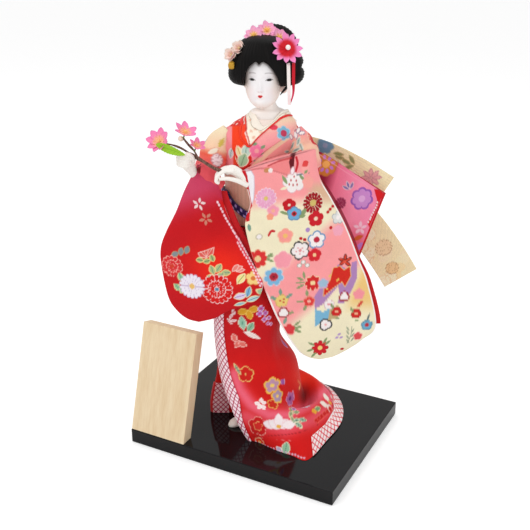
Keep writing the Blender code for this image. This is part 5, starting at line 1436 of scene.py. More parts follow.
def print_and_shade_wing(s):
    low = ease(s.v, 218.0, 246.0) * (1.0 - ease(s.u, 356, 372))
    # painted shade: the panel's pink darkens to deep red towards its left edge, where the front sleeve shadows it
    s.ground(ramp(s.u + 0.3 * (s.v - 200.0), ((318, (150, 24, 56)), (330, (240, 116, 146)), (356, (253, 146, 176)),
                                              (384, (248, 138, 172)))), ((206, 60, 84), 0.6 * low))
    bloom(s, 326, 164, 12, (206, 120, 50), (190, 96, 50), (240, 170, 90), 8, 0.12, 0.8)
    for k in range(8):
        a = math.radians(45 * k + 10)
        spot(s, 326 + 7 * math.cos(a), 164 - 7 * math.sin(a), 2.2, 1.5, (196, 120, 200), 45 * k)
    bloom(s, 362, 199, 11.5, (206, 140, 206), (150, 90, 180), (224, 170, 220), 7, 0.2, 2.0)
    spray(s, 350, 190, 5, 5, (70, 110, 150), 4.4, 1.7, (130, 110, 170), (230, 190, 200))
    spray(s, 360, 228, 3.8, 3.8, range(15, 375, 72), 3.4, 1.7, (246, 196, 214))
    daisy(s, 340, 203, 6, (150, 40, 80), (190, 90, 120), 12, None, 1)
    leaf(s, 358, 238, 6, 2.6, 20, (206, 90, 40))
    bloom(s, 361, 246, 4, (190, 120, 200), None, None)
    stroke(s, ((316, 152), (340, 168), (365, 184), (383, 195)), 0.7, (250, 170, 190), 0.6)
    # the red lining's edge with painted shade from the front sleeve: a dark red band along the panel's left side
    stroke(s, ((317, 176), (329, 194), (341, 215), (352, 239), (359, 258)), 5.5, (138, 14, 34), 0.8)
    shape(s, ((374, 189), (390, 190), (390, 215), (370, 230), (367.5, 223), (375, 208), (377, 200)), (218, 24, 30))


def wing():
    s = Surface(Bag(WING_ROWS, wing_depth, 6.0, 2.6).ring_grid(130, 102, 30), True)
    print_and_shade_wing(s)
    scatter(s, (kind_daisy((214, 130, 180), (240, 190, 214), (206, 120, 60), 9),
                kind_leaf((150, 110, 160), (236, 190, 200), 5)),
            24, 12, s.facing < -0.05)
    beads(s, ((378, 200), (375.5, 208), (371.5, 216), (368, 223)), 1.1, 2.6, (250, 226, 232))
    sheet(s, "rear_sleeve_cloth", CREPE, "left_sleeve_back")
    lining_rows = ((96, 313, 78, 240, 1.0), (118, 298, 93, 224, 1.0), (140, 283, 112, 206, 0.9))
    s = Surface(Bag(lining_rows, lambda x: wing_depth(x) + 5.6, 1.2, 1.2).ring_grid(50, 24, 24), True,
                colour=(206, 18, 30))
    sheet(s, "rear_sleeve_lining", LINING, "left_sleeve_back_lining")
    s = edge_strip(LEFT_SLEEVE_ROWS, left_depth, 16.0, 4.0, 6, 15, (1.5, 2.0, 3.5, 5.5, 7.0))
    sheet(s, "sleeve_lining_edge", LINING, "left_sleeve_lining")
    s = edge_strip(RIGHT_SLEEVE_ROWS, right_depth, 13.0, 4.0, 1, 10, (7.0, 9.0, 9.0, 7.0, 3.0))
    sheet(s, "right_lining_edge", LINING, "right_sleeve_lining")


wing()

UPPER_TAIL = ((-12, 55.6, 68), (20, 54.5, 66), (58, 50, 60), (98, 47, 42), (138, 45, 18))
LOWER_TAIL = ((-6, 58.5, 58), (30, 58, 42), (76, 58, 15), (118, 58, -26), (149, 58, -67), (168, 58, -97))


def tail_surface(path, width, thick, rows, cols):
    line = spline(path, rows) + np.array((0.0, 0.0, WAIST))
    ahead = np.gradient(line, axis=0)
    ahead /= np.linalg.norm(ahead, axis=1, keepdims=True)
    across = np.cross(ahead, np.array((0.0, 1.0, 0.0)))
    across /= np.linalg.norm(across, axis=1, keepdims=True)
    share = np.concatenate((np.linspace(-1.0, 1.0, cols), np.linspace(1.0, -1.0, cols)))
    side = np.concatenate((-np.ones(cols), np.ones(cols)))
    spread = ease(np.linspace(0.0, 1.0, rows), 0.0, 0.32)[:, None]
    taper = (0.42 + 0.58 * spread)[..., None]
    grid = line[:, None, :] + across[:, None, :] * share[None, :, None] * width / 2.0 * taper
    wave = 0.5 * np.sin(np.linspace(0.0, 9.0, rows))[:, None] * share[None, :]
    pleats = 0.9 * (1.0 - 0.85 * spread) * np.sin(share[None, :] * math.pi * 2.0)
    grid[..., 1] += side[None, :] * thick / 2.0 + wave + pleats
    return grid


def print_gold(s, seed):
    chance = random.Random(seed)
    lines = np.sin(s.local[:, 0] * 1.9 + s.local[:, 2] * 3.2)
    s.tint *= (1.0 - 0.10 * (lines > 0.6))[:, None]
    # pale patches scattered over the gold ground
    pale_patches = ((255, 244, 200), (255, 216, 150), (255, 232, 200))
    for _ in range(16):
        index = chance.randrange(len(s.places))
        spot(s, 0, 0, 9, 6, pale_patches[chance.randrange(3)], chance.uniform(0, 180), index=index, amount=0.45)
    for _ in range(22):
        index = chance.randrange(len(s.places))
        daisy(s, 0, 0, 7.5, (255, 242, 208), (242, 204, 150), 12, None, 1, index=index)


def sash():
    for name, path, node in (("upper_gold_tail", UPPER_TAIL, "sash_tail_upper"),
                             ("lower_gold_tail", LOWER_TAIL, "sash_tail_lower")):
        s = Surface(tail_surface(path, 46.0, 2.0, 165, 44), True, True, (255, 236, 190))
        print_gold(s, len(path))
        bloom(s, 325, 145, 9, (110, 150, 180), (190, 190, 170), (150, 160, 190), 7, 0.2)
        leaves(s, ((340, 158, 160), (346, 162, 150), (352, 160, 120), (349, 167, 200), (338, 154, 170)), 6, 2.2,
               (150, 150, 96), (214, 190, 130))
        spray(s, 371, 178, 6, 5, range(0, 360, 45), 5, 2.2, (240, 170, 170), (214, 140, 150))
        daisy(s, 384, 248, 9, (246, 214, 170), (200, 150, 110), 14, None, 1)
        daisy(s, 392, 268, 7, (244, 204, 150), (196, 140, 90), 12, None, 1)
        sheet(s, name, BROCADE, node)


def bow():
    """The sash bow: a pleated knot, a drooping loop at each side and a cord round the knot."""
    pieces = []
    centre = (-9.0, 44.0, WAIST + 59.8)
    s = Surface(super_ball(centre, (12.2, 19.4, 16.0), 60, 112, 2.3,
                           lambda x, y, z: 0.035 * np.sin(np.arctan2(x, y) * 14.0)), True, True, (250, 214, 152))
    print_gold(s, 21)
    pieces.append(s.object("sash_bow", BROCADE))
    for side in (-1.0, 1.0):
        def pleats(x, y, z):
            fan = 0.03 * np.sin(np.hypot(x + side * 20.0, z) / 2.3) * np.exp(-(x + side * 14.0) ** 2 / 260.0)
            return fan - 0.10 * np.exp(-((z + 2.0) / 3.2) ** 2) * (x * side > 0)
        loop = super_ball((0.0, 0.0, 0.0), (20.2, 13.2, 25.4), 66, 104, 2.1, pleats)
        lean = side * math.radians(16.0)
        x, z = loop[..., 0].copy(), loop[..., 2].copy()
        loop[..., 0] = x * math.cos(lean) + z * math.sin(lean) - 9.0 + side * 18.0
        loop[..., 2] = -x * math.sin(lean) + z * math.cos(lean) + WAIST + 45.1
        loop[..., 1] += 39.5
        s = Surface(loop, True, True, (246, 206, 140))
        print_gold(s, 30 + int(side))
        pieces.append(s.object("bow_loop", BROCADE))
    turn = np.linspace(0.0, math.tau, 60)
    ring = [(-9.0 + 12.6 * math.sin(t), 44.0 - 19.8 * math.cos(t), WAIST + 55.0) for t in turn]
    s = Surface(tube_points(ring, (1.8, 1.8), 120, 14), True, colour=(38, 18, 84))
    s.tint[(np.sin(np.arange(len(s.places)) // 14 * 1.06) > 0.4)] = linear((176, 160, 224))
    pieces.append(s.object("bow_cord", LINING))
    stands_for(joined(pieces), "sash_knot")


bow()
sash()


# Head: rows of height above the chin, half width, front and back reach

CHIN = WAIST + 61.0 + 53.0 + 14.0
HEAD_TURN = math.radians(-8.5)
HEAD_CENTRE = np.array((-5.0, 1.0, CHIN))
HEAD_ROWS = (
    (3.5, 6.5, 17.0, -0.8), (5.0, 10.5, 19.0, 1.0), (9.5, 14.8, 20.3, 8.0), (17.0, 18.2, 21.0, 14.0),
    (26.0, 19.8, 21.0, 18.0), (36.0, 20.5, 21.0, 21.0), (46.0, 20.5, 20.5, 22.0), (56.0, 18.0, 17.5, 20.0),
    (63.5, 12.0, 11.5, 14.0), (68.0, 4.0, 4.0, 5.0),
)
NECK_ROWS = ((376.2, 2.0, 4.0, 30.0, 19.5), (382.0, 1.0, 3.5, 23.0, 16.5), (388.0, 0.0, 3.0, 18.4, 15.0),
             (391.0, 0.0, 3.0, 12.0, 12.0), (396.0, -1.0, 3.0, 9.8, 9.8), (402.0, -2.0, 3.0, 9.4, 9.4))
SKIN_WHITE = (246, 243, 244)
SKIN_WARM = (248, 232, 220)


FACE_OPENING = (
    (-25.5, 5), (-25.8, 24), (-25.6, 33), (-24.2, 41), (-20.0, 47.5), (-13.6, 53.0), (-11.3, 52.5), (-9.4, 49.7),
    (-7.0, 52.5), (-4.6, 53.2), (0.5, 50.0), (5.5, 44.0), (10.5, 36.0), (13.2, 28.0), (14.0, 18.0), (14.0, 5),
)


def turned(points, angle):
    cos, sin = math.cos(angle), math.sin(angle)
    spun = np.array(points, float)
    x, y = spun[..., 0].copy(), spun[..., 1].copy()
    spun[..., 0] = x * cos - y * sin
    spun[..., 1] = x * sin + y * cos
    return spun


def face_relief(x, h):
    side = np.abs(x)
    nose = np.interp(h, (20.8, 21.8, 23.2, 30.0, 37.0), (0.0, 0.75, 1.0, 0.5, 0.0))
    depth = 3.0 * np.exp(-(x / 2.0) ** 2) * nose
    depth += 0.7 * hill(side, h, 2.2, 22.8, 1.1, 1.3)
    depth -= 1.2 * hill(side, h, 8.8, 35.0, 4.6, 3.6)
    depth += 0.6 * hill(side, h, 9.2, 33.9, 3.4, 1.7)
    depth += 1.1 * hill(x, h, 0.0, 17.2, 3.2, 1.9)
    depth -= 0.5 * hill(x, h, 0.0, 17.3, 3.0, 0.4)
    depth -= 0.5 * hill(x, h, 0.0, 12.8, 4.5, 1.6)
    depth += 1.3 * hill(x, h, 0.0, 8.5, 5.5, 3.4)
    depth += 0.7 * hill(side, h, 10.5, 20.0, 5.5, 7.0)
    return depth


def face_paint(s, x, h, front):
    edge = ease(np.abs(x), 9.0, 17.0) * 0.8 + ease(-h, -14.0, -5.0) * 0.6
    s.tint[:] = linear(SKIN_WHITE)
    s.wash(SKIN_WARM, edge)
    s.wash((250, 214, 206), 0.22 * hill(np.abs(x), h, 11.0, 22.0, 5.0, 6.0) * front)
    side = np.abs(x)
    s.wash((226, 222, 226), 0.35 * hill(side, h, 9.0, 36.5, 5.0, 1.6) * front)
    brow = h - 41.2 + 0.035 * (side - 8.0) ** 2
    s.wash((150, 140, 140), np.clip(1.0 - np.abs(brow) / 1.0, 0, 1) * ease(4.8 - np.abs(side - 8.8), 0.0, 1.6)
          * front * 0.66)
    ex = side - 9.2
    lid = 33.7 + 1.45 - 0.11 * ex ** 2 + 0.05 * ex
    floor_line = 33.7 - 1.05 + 0.07 * ex ** 2
    open_eye = np.clip((lid - h) / 0.25, 0, 1) * np.clip((h - floor_line) / 0.25, 0, 1) * (np.abs(ex) < 3.7)
    s.wash((206, 198, 196), open_eye * front)
    s.wash((22, 15, 16), open_eye * np.clip((2.5 - np.hypot(ex + 0.1, (h - 33.8))) / 0.3, 0, 1) * front)
    s.wash((26, 19, 20), np.clip(1.0 - np.abs(h - lid - 0.05) / 0.6, 0, 1) * (np.abs(ex) < 4.1) * front)
    s.wash((150, 134, 132), np.clip(1.0 - np.abs(h - floor_line) / 0.28, 0, 1) * (np.abs(ex) < 3.0) * front * 0.5)
    s.wash((196, 184, 184), np.clip(1.0 - np.abs(h - lid - 1.5) / 0.35, 0, 1) * (np.abs(ex) < 3.4) * front * 0.6)
    s.wash((252, 240, 236), 0.6 * hill(x, h, 0.0, 16.8, 4.2, 3.6) * front)
    upper = 17.3 + 1.3 - 0.15 * x ** 2 - 0.45 * np.exp(-(x / 0.5) ** 2)
    lower = 17.3 - 2.4 + 0.30 * x ** 2
    lips = np.clip((upper - h) / 0.25, 0, 1) * np.clip((h - lower) / 0.25, 0, 1) * (side < 2.9)
    s.wash((212, 44, 44), lips * front)
    s.wash((150, 20, 30), np.clip(1.0 - np.abs(h - 17.35 + 0.03 * x ** 2) / 0.25, 0,
                                  1) * (side < 2.6) * front * 0.7)
    s.wash((226, 190, 184), 0.7 * hill(side, h, 1.5, 21.6, 0.7, 0.4) * front)


def head():
    rows = spline(HEAD_ROWS, 175)
    angle = circle(230)
    angle = angle - 0.45 * np.sin(angle)
    h, half, front, back = columns(rows, 4)
    x = half * np.sin(angle)
    y = np.where(np.cos(angle) > 0.0, -front * np.cos(angle), -back * np.cos(angle))
    facing = ease(np.cos(angle), 0.05, 0.35) + 0.0 * h
    y = y - face_relief(x, h + 0.0 * angle) * facing
    local = np.stack((x, y, h + 0.0 * angle), axis=-1)
    grid = turned(local, HEAD_TURN) + HEAD_CENTRE
    s = Surface(grid, True)
    face_paint(s, local[..., 0].ravel(), local[..., 2].ravel(), facing.ravel())
    up = s.local[:, 2] - CHIN
    hairline = signed_distance(s.local[:, 0], up, FACE_OPENING)
    s.wash((96, 78, 76), (1.0 - ease(hairline, 0.2, 3.2)) * ease(up, 24.0, 36.0) * 0.75 * facing.ravel())
    pieces = [s.object("face_and_head", SKIN)]
    rows = spline(NECK_ROWS, 40)
    angle = circle(80)
    z, cx, cy, hx, hy = columns(rows, 5)
    grid = np.stack((cx + hx * np.sin(angle), cy - hy * np.cos(angle), z + 0.0 * angle), axis=-1)
    s = Surface(grid, True, colour=(249, 240, 234))
    pieces.append(s.object("neck_skin", SKIN))
    across = np.linspace(-34.0, 30.0, 30)[:, None]
    rise = np.concatenate((np.linspace(100.0, 119.0, 20), np.linspace(119.0, 100.0, 20)))[None, :]
    out = np.concatenate((np.full(20, 0.35), np.full(20, 0.05)))[None, :]
    pieces.append(Surface(trunk_at(across, rise, out), True, True, (244, 226, 216)).object("chest_skin", SKIN))
    for side in (-1.0, 1.0):
        ear = super_ball((0.0, 0.0, 0.0), (1.9, 3.0, 4.8), 20, 26, 2.0,
                         lambda x, y, z: -0.35 * np.exp(-((y / 1.5) ** 2 + (z / 2.6) ** 2)))
        ear = turned(ear + np.array((side * 20.4, 1.5, 27.0)), HEAD_TURN) + HEAD_CENTRE
        pieces.append(Surface(ear, True, True, SKIN_WARM).object("ear", SKIN))
    lobe = super_ball(at_pixel(283.5, 88.5, -2.0), (4.2, 2.6, 5.2), 20, 26)
    pieces.append(Surface(lobe, True, True, (240, 214, 204)).object("ear_lobe", SKIN))
    stands_for(joined(pieces), "head")


head()

HAIR_ROWS = (
    (25.0, -1.6, 14.0, 30.0, 22.0), (27.5, -1.6, 11.0, 36.6, 29.0), (34.0, -1.6, 9.0, 40.1, 31.0),
    (45.0, -1.6, 9.0, 40.1, 32.0), (56.0, -2.0, 9.0, 38.0, 32.5), (65.0, -3.0, 8.0, 32.0, 30.0),
    (72.0, -4.0, 6.5, 24.0, 25.0), (76.5, -5.0, 5.0, 13.5, 15.0), (78.0, -5.0, 5.0, 3.0, 4.0),
)


def strand_phase(turn, h):
    """Where a point lies across the combed strands: upright in front, level round the wings."""
    side = ease(np.abs(turn), 0.75, 1.15) * (1.0 - ease(h, 58.0, 68.0))
    upright = turn * 62.0 + 0.8 * np.sin(h / 9.0)
    level = h * 2.1 + turn * 9.0
    return upright * (1.0 - side) + level * side


def strand_tint(s, phase):
    # the lighter strands are painted highlights along the combed hair, over a near-black ground
    fine = 0.5 + 0.5 * np.sin(phase * 2.3 + 1.7 * np.sin(phase * 0.37))
    coarse = 0.5 + 0.5 * np.sin(phase * 0.61 + 0.5)
    share = (0.15 + 0.6 * fine ** 3 * coarse)[:, None]
    s.tint = linear((3, 2, 2)) * (1.0 - share) + linear((18, 14, 13)) * share


def hair():
    table = spline(HAIR_ROWS, 110)
    under = []
    for keep, drop in ((0.30, 9.0), (0.62, 3.5), (0.86, 0.6), (0.95, -0.5)):
        row = table[0].copy()
        row[0] += drop
        row[3:] *= keep
        under.append(row)
    table = np.concatenate((np.array(under), table))
    turn = np.linspace(-math.pi, math.pi, 310, endpoint=False)[None, :]
    h, cx, cy, hx, hy = columns(table, 5)
    h = h + 0.0 * turn
    grow = 0.022 * hill(np.abs(turn), h, 1.6, 36.0, 0.45, 9.0) - 0.075 * hill(turn, h, 1.75, 44.5, 0.5, 3.0)
    grow += 0.02 * hill(turn, h, 1.6, 51.5, 0.4, 4.0)
    grow -= 0.035 * hill(np.abs(turn), h, 0.95, 62.0, 0.13, 11.0)
    phase = strand_phase(turn, h)
    grow += 0.0065 * np.sin(phase) * ease(h, 25.0, 32.0)
    x = cx + hx * rounded(np.sin(turn), 2.3) * (1.0 + grow)
    y = cy - hy * rounded(np.cos(turn), 2.3) * (1.0 + grow)
    inside_face = signed_distance(x, h, FACE_OPENING) * (y < 2.0)
    push = ease(inside_face, -0.6, 2.6)
    y = y + (4.0 - y) * push
    s = Surface(np.stack((x, y, CHIN + h), axis=-1), True)
    strand_tint(s, phase.ravel())
    pieces = [s.object("combed_hair", HAIR)]
    pull = capped(tube_points((at_pixel(289, 85, -8), at_pixel(285.5, 88.6, -11), at_pixel(282.5, 92, -13),
                               at_pixel(280, 95.2, -13.5)), (1.5, 1.5, 1.0, 0.25), 30, 16), 3, 0.3)
    s = Surface(pull, True, True, (24, 20, 20))
    pieces.append(s.object("side_lock", HAIR))
    stands_for(joined(pieces), "hair")

    centre = (6.0, 31.0, CHIN + 58.0)
    bun = super_ball(centre, (28.0, 16.0, 28.5), 60, 176, 2.1,
                     lambda x, y, z: 0.012 * np.sin(np.arctan2(x, z) * 44.0)
                     - 0.10 * np.exp(-((np.hypot(x, z) - 9.0) / 3.0) ** 2))
    s = Surface(bun, True, True)
    away = s.local - np.array(centre)
    strand_tint(s, np.arctan2(away[:, 0], away[:, 2]) * 60.0)
    stands_for(s.object("topknot_roll", HAIR), "topknot")

    arc = ((-31, 15, 61), (-22, 14, 71), (-8, 14, 77.5), (4, 14, 79), (16, 15, 75), (27, 17, 65))
    path = [(x, y, z + CHIN) for x, y, z in arc]
    rings = tube_points(path, (2.4, 3.4, 3.4, 3.4, 3.4, 2.4), 170, 32)
    middle = rings.mean(axis=1, keepdims=True)
    step = np.linspace(0.0, 46.0, 170)[:, None]
    turn = circle(32)
    knots = np.clip(np.sin(step * math.pi * 1.0) * np.sin(turn * 4.0), 0.0, 1.0)
    rings = middle + (rings - middle) * (0.93 + 0.13 * knots)[..., None]
    s = Surface(capped(rings, 3, 0.8), True, colour=(196, 20, 34))
    dots = np.concatenate((np.zeros((3, 32)), knots, np.zeros((3, 32)))).ravel()
    s.wash((244, 150, 160), np.clip((dots - 0.75) / 0.15, 0.0, 1.0))
    stands_for(s.object("dotted_hair_band", CREPE), "hair_ribbon")
    s = Surface(super_ball((-38.5, -6.0, CHIN + 48.0), (3.6, 6.2, 4.2), 50, 60, 2.6,
                           lambda x, y, z: 0.09 * np.sign(np.sin(y * 3.4)) * (z < 1.0)), True, True,
                (206, 158, 50))
    stands_for(s.object("small_comb", PETAL), "side_comb")


hair()


# Silk petals

PETAL_CREASE = 0.12
PETAL_TILT = 0.6


def petal_sheet(centre, facing, angle, start, length, width, lift, curl, inner, outer, pointed, change):
    """One petal as a thin two-sided sheet, from its root at the flower's middle to its tip."""
    facing = Vector(facing).normalized()
    frame_turn = np.array(facing.to_track_quat("Z", "Y").to_matrix())
    along = np.linspace(0.0, 1.0, 13)[:, None]
    side = np.linspace(-1.0, 1.0, 9)[None, :]
    widest, blunt, tip = (1.25, 0.8, 0.25) if pointed > 0.5 else (0.85, 0.55, 0.7)
    swell = np.sin(math.pi * along ** widest * 0.96) ** blunt
    half = width / 2.0 * (0.12 + 0.88 * swell) * np.where(along > 0.97, tip, 1.0)
    reach = start + (length - start) * along * (1.0 - 0.06 * side ** 2)
    crease = PETAL_CREASE * width * (1.0 - side ** 2) * np.sin(math.pi * along)
    up = lift * along + curl * along ** 2 - crease + PETAL_TILT * side * along
    cos, sin = math.cos(angle), math.sin(angle)
    across = side * half
    flat_x = reach * cos - across * sin
    flat_y = reach * sin + across * cos
    near = np.stack((flat_x, flat_y, up + 0.0 * side), axis=-1)
    ring = np.concatenate((near, (near - np.array((0.0, 0.0, 0.35)))[:, ::-1]), axis=1)
    s = Surface(ring @ frame_turn.T + np.array(centre, float), True, True)
    share = np.repeat(along, 18, axis=1).ravel()
    across_share = np.abs(np.concatenate((side, side[:, ::-1]), axis=1) + 0.0 * along).ravel()
    turnover = ease(share, *change)[:, None]
    s.tint = linear(inner) * (1.0 - turnover) + linear(outer) * turnover
    s.wash(inner, 0.5 * (1.0 - across_share) * (1.0 - share))
    return s


def silk_flower(name, centre, facing, radius, petals, inner, outer, pointed, width, heart, heart_size, seed,
                lift=0.12, curl=0.16, layers=1, stamens=0, pin=8.0, change=(0.0, 1.0)):
    chance = random.Random(seed)
    pieces = []
    for layer in range(layers):
        size = radius * (1.0 - 0.3 * layer)
        for k in range(petals):
            angle = math.tau * (k + 0.5 * layer) / petals + chance.uniform(-0.08, 0.08)
            s = petal_sheet(centre, facing, angle, radius * 0.06, size * chance.uniform(0.93, 1.05), width,
                            radius * (lift + 0.22 * layer), radius * curl * chance.uniform(0.5, 1.4), inner, outer,
                            pointed, change)
            pieces.append(s.object(name, PETAL))
    aim = np.array(Vector(facing).normalized())
    s = Surface(super_ball(np.array(centre) + aim * heart_size * 0.35, (heart_size, heart_size, heart_size), 20,
                           30, 2.0, lambda x, y,
                           z: 0.08 * np.sin(x * 9.0 / heart_size) * np.sin(z * 9.0 / heart_size)),
                True, True, heart)
    pieces.append(s.object(name + "_heart", PETAL))
    spin = np.array(Vector(facing).normalized().to_track_quat("Z", "Y").to_matrix())
    for k in range(stamens):
        angle = math.tau * k / stamens
        tip = np.array((math.cos(angle) * radius * 0.34, math.sin(angle) * radius * 0.34, radius * 0.34))
        path = [np.array(centre), np.array(centre) + spin @ (tip * 0.6), np.array(centre) + spin @ tip]
        pieces.append(Surface(tube_points(path, (0.25, 0.25, 0.5), 8, 6), True, True,
                              heart).object(name + "_stamen", PETAL))
    back = [np.array(centre) - aim * pin, np.array(centre) - aim * pin * 0.4, np.array(centre) + aim * 0.3]
    stem = Surface(tube_points(back, (0.8, 0.8, 1.1), 10, 12), True, True, (90, 120, 60))
    pieces.append(stem.object(name + "_stem", PETAL))
    return joined(pieces)


def hair_ornaments():
    lift = np.array((0.0, 0.0, CHIN))
    big_at = np.array((19.8, -20.0, 66.4)) + lift
    aim = np.array(Vector((0.20, -0.90, 0.36)).normalized())
    made = silk_flower("large_silk_flower", big_at, aim, 17.0, 11, (216, 20, 40), (249, 148, 206), 1.0, 6.4,
                       (206, 20, 50), 2.2, 3, 0.05, 0.10, 1, pin=11.0, change=(0.40, 0.68))
    stands_for(made, "big_flower")
    pearl_at = big_at + aim * 5.3
    pearl_stuff = painted("pearl_gloss", 0.18, 0.6, 0.6, 0.02)
    s = Surface(super_ball(pearl_at, (2.7, 2.7, 2.7), 40, 50, 2.0), True, True, (246, 240, 236))
    stands_for(s.object("pearl_bead", pearl_stuff), "flower_pearl")
    pinks = (((-15, 3, 77.5), (-0.25, -0.75, 0.6)), ((-1, 8, 82.0), (0.0, -0.75, 0.65)),
             ((12, 3, 75.0), (0.2, -0.75, 0.6)))
    for index, (place, facing) in enumerate(pinks):
        made = silk_flower("pink_silk_flower_" + str(index + 1), np.array(place) + lift, facing, 10.2, 7,
                           (250, 206, 130), (250, 172, 214), 0.5, 7.8, (244, 190, 90), 1.8, 11 + index, 0.10, 0.20,
                           1, 6, change=(0.10, 0.42))
        stands_for(made, "pink_flower_" + str(index + 1))
    pales = (((-30.5, -8, 65.5), (-0.35, -0.8, 0.45)), ((-38.5, -6, 58.5), (-0.6, -0.7, 0.35)))
    for index, (place, facing) in enumerate(pales):
        made = silk_flower("pale_silk_blossom_" + str(index + 1), np.array(place) + lift, facing, 8.2, 5,
                           (240, 186, 188), (252, 236, 224), 0.3, 7.4, (226, 196, 150), 1.5, 21 + index, 0.16,
                           0.25, 2, 5)
        stands_for(made, "pale_blossom_" + str(index + 1))


hair_ornaments()


def hanging_ribbon(name, path, widths, colours, node):
    line = spline(np.array(path, float) + np.array((0.0, 0.0, CHIN)), 120)
    wide = spline([[w] for w in widths], 120)[:, 0]
    share = np.linspace(-1.0, 1.0, 9)
    twist = 0.25 * np.sin(np.linspace(0.0, 5.0, 120))
    near = []
    for point, half, angle in zip(line, wide / 2.0, twist):
        near.append([point + np.array((half * a * math.cos(angle), half * a * math.sin(angle) - 0.3,
                                       0.0)) for a in share])
    near = np.array(near)
    ring = np.concatenate((near, near[:, ::-1] + np.array((0.0, 0.6, 0.0))), axis=1)
    s = Surface(ring, True, True)
    down = np.repeat(np.linspace(0.0, 1.0, 120), 18)
    s.tint[:] = linear(colours[0])
    s.wash(colours[1], ease(down, 0.6, 0.8))
    sheet(s, name, LINING, node)


hanging_ribbon("white_hair_ribbon", ((21, -13, 53), (21.5, -21.5, 49), (22, -22, 33), (22.5, -21, 19),
                                     (23, -20, 8)),
               (3.8, 3.8, 3.8, 3.2, 3.6), ((250, 240, 236), (250, 226, 226)), "white_ribbon")
hanging_ribbon("red_hair_ribbon", ((27, -9, 53), (27, -19.5, 49), (27, -20, 34), (27, -19, 20), (24, -18, 9)),
               (3.4, 3.4, 3.4, 2.2, 1.3), ((206, 20, 40), (226, 60, 100)), "red_ribbon")


# Branch, hands and foot

STICK = ((-83, -48, 90), (-70, -54, 84), (-56, -60, 77), (-45, -60, 73))
TWIG = ((-73, -53, 84), (-77, -55, 94), (-83, -55, 101), (-88, -56, 108))
SIDE_TWIG = ((-80, -49, 88), (-90, -52, 96), (-101, -51, 100), (-112, -50, 101))


def knobbly(path, radius, seed):
    chance = random.Random(seed)
    radii = [radius * chance.uniform(0.8, 1.25) for _ in range(9)]
    rings = tube_points([(x, y, z + WAIST) for x, y, z in path], radii, 80, 14)
    return Surface(capped(rings, 3, 0.4), True, True)


def branch():
    stuff = bark()
    pieces = [knobbly(STICK, 1.8, 1).object("flower_branch", stuff), knobbly(TWIG, 1.1, 2).object("twig", stuff),
              knobbly(SIDE_TWIG, 1.1, 3).object("twig", stuff)]
    stands_for(joined(pieces), "branch")
    holds = ((SIDE_TWIG[-1], (-0.35, -0.72, 0.6), 14.0, 5.0, 8), (TWIG[-1], (0.3, -0.38, 0.88), 13.0, 8.0, 6),
             (TWIG[1], (0.35, -0.42, 0.84), 9.6, 8.0, 6))
    for index, (hold, facing, radius, pin, petals) in enumerate(holds):
        aim = np.array(Vector(facing).normalized())
        place = np.array(hold) + np.array((0.0, 0.0, WAIST)) + aim * pin
        made = silk_flower("branch_flower_" + str(index + 1), place, facing, radius, petals, (252, 186, 150),
                           (249, 132, 190), 0.3, radius * (0.62 if petals > 5 else 0.95), (246, 200, 120),
                           radius * 0.13, 31 + index, 0.26, 0.10,
                           1, 5, pin=pin, change=(0.15, 0.6))
        stands_for(made, "branch_blossom_" + str(index + 1))
    share = np.linspace(0.0, 1.0, 60)[:, None]
    side = np.concatenate((np.linspace(-1.0, 1.0, 17), np.linspace(1.0, -1.0, 17)))[None, :]
    layer = np.concatenate((-np.ones(17), np.ones(17)))[None, :]
    half = 4.6 * np.sin(math.pi * share ** 0.8) ** 0.7 * (1.0 + 0.07 * np.sin(share * 70.0)) + 0.1
    x = -116.0 + 30.0 * share + 0.0 * side
    z = WAIST + 103.0 - 11.0 * share - side * half
    y = -62.0 - 1.6 * np.abs(side) * np.sin(math.pi * share) + layer * 0.35
    s = Surface(np.stack((x, y, z), axis=-1), True, True, (156, 204, 44))
    vein = np.clip(1.0 - np.abs(side) / 0.09, 0.0,
                   1.0) + 0.5 * (np.abs(np.sin(share * 26.0 + np.abs(side) * 3.5)) > 0.93)
    s.wash((108, 160, 30), np.clip(vein + 0.0 * share, 0.0, 1.0).ravel() * 0.7)
    stands_for(s.object("green_silk_leaf", PETAL), "branch_leaf")
    s = Surface(super_ball((-90.8, -55.2, WAIST + 107.5), (3.0, 2.8, 2.7), 40, 40, 2.0,
                           lambda x, y, z: 0.05 * np.sin(np.arctan2(x, y) * 5.0)), True, True, (244, 226, 206))
    stands_for(s.object("cream_bud", PETAL), "branch_bud")


branch()


def moulded(name, tubes, tint, node):
    """One smooth body melted together from several round limbs."""
    pieces = []
    for path, radii, flat in tubes:
        lifted = [(x, y, z + WAIST) for x, y, z in path]
        rings = capped(tube_points(lifted, radii, 40, 28, flat=flat), 5, radii[-1] * 0.7)
        pieces.append(Surface(rings, True).object(name, SKIN))
    made = joined(pieces)
    made.data.attributes.remove(made.data.attributes["tint"])
    melt = made.modifiers.new("melt", "REMESH")
    melt.mode = "VOXEL"
    melt.voxel_size = 0.0006
    soften = made.modifiers.new("soften", "SMOOTH")
    soften.factor = 0.5
    soften.iterations = 2
    graph = bpy.context.evaluated_depsgraph_get()
    mesh = bpy.data.meshes.new_from_object(made.evaluated_get(graph))
    made.modifiers.clear()
    made.data = mesh
    set_tint(mesh, linear(tint))
    mesh.shade_smooth()
    if not mesh.materials:
        mesh.materials.append(SKIN)
    return stands_for(made, node)


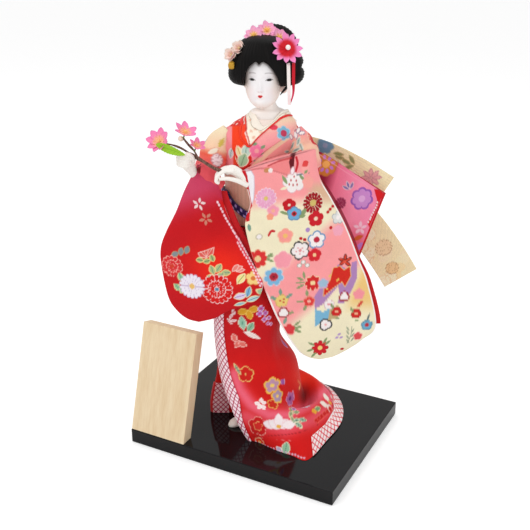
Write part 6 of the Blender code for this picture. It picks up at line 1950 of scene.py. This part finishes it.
def hands():
    tubes = [(((-15, -51, 56), (-28, -55, 68), (-37, -57, 74.5), (-43, -58, 74)), (4.6, 5.2, 5.4, 4.6), 0.8)]
    for k in range(4):
        y = -53.0 - 3.1 * k
        drop = (1.2, 0.0, 0.4, 1.6)[k]
        tubes.append((((-36, y, 76.5 - drop), (-45, y - 0.4, 76.5 - drop), (-52.5, y - 0.6, 71.5 - drop),
                       (-54.5, y - 0.4, 65.5 - drop), (-52.0, y, 61.5)), (2.4, 2.2, 2.0, 1.9, 1.6), 1.0))
    tubes.append((((-22, -58, 58), (-32, -62, 64), (-42, -64, 67), (-50, -64, 66.5)), (2.6, 2.5, 2.2, 1.8), 1.0))
    moulded("left_silk_hand", tubes, (248, 243, 236), "left_hand")

    tubes = [(((-77, -32, 57), (-81, -40, 68), (-85, -45, 77), (-88, -48, 84)), (5.0, 5.2, 7.0, 6.2), 0.85)]
    for k in range(4):
        z = 89.0 - 3.4 * k
        tubes.append((((-93, -44, z), (-95, -50, z + 0.4), (-92, -55.5, z), (-86, -57.0, z - 0.6),
                       (-82, -53.5, z - 1.2)),
                      (2.3, 2.2, 2.1, 2.0, 1.7), 1.0))
    tubes.append((((-81, -44, 78), (-79, -51, 84), (-81, -56, 90), (-85, -57.5, 92.5)), (2.6, 2.5, 2.2, 1.7), 1.0))
    moulded("right_silk_hand", tubes, (247, 242, 235), "right_hand")

    sections = ((0.0, 5.0, 11.0), (8.0, 6.5, 11.5), (17.0, 7.2, 10.0), (25.0, 6.0, 7.0), (29.5, 2.5, 3.6))
    table = spline(sections, 60)
    angle = circle(60)
    along, half, tall = columns(table, 3)
    rise = (np.maximum(np.sin(angle), -0.55) + 0.55) / 1.55
    split = 1.0 - 0.16 * ease(along, 15.0, 24.0) * np.exp(-((angle - 1.2) / 0.22) ** 2)
    side = np.array((0.42, -0.80)) / math.hypot(0.42, 0.80)
    x = -24.0 - along * 0.80 + side[0] * half * np.cos(angle)
    y = -14.0 - along * 0.42 + side[1] * half * np.cos(angle)
    z = 0.3 + rise * tall * split
    grid = capped(np.stack((x, y, z), axis=-1), 4, 0.4)
    grid[..., 2] = np.maximum(grid[..., 2], 0.3)
    s = Surface(grid, True, True, (247, 240, 232))
    stands_for(s.object("white_sock_foot", CREPE), "tabi_foot")


hands()
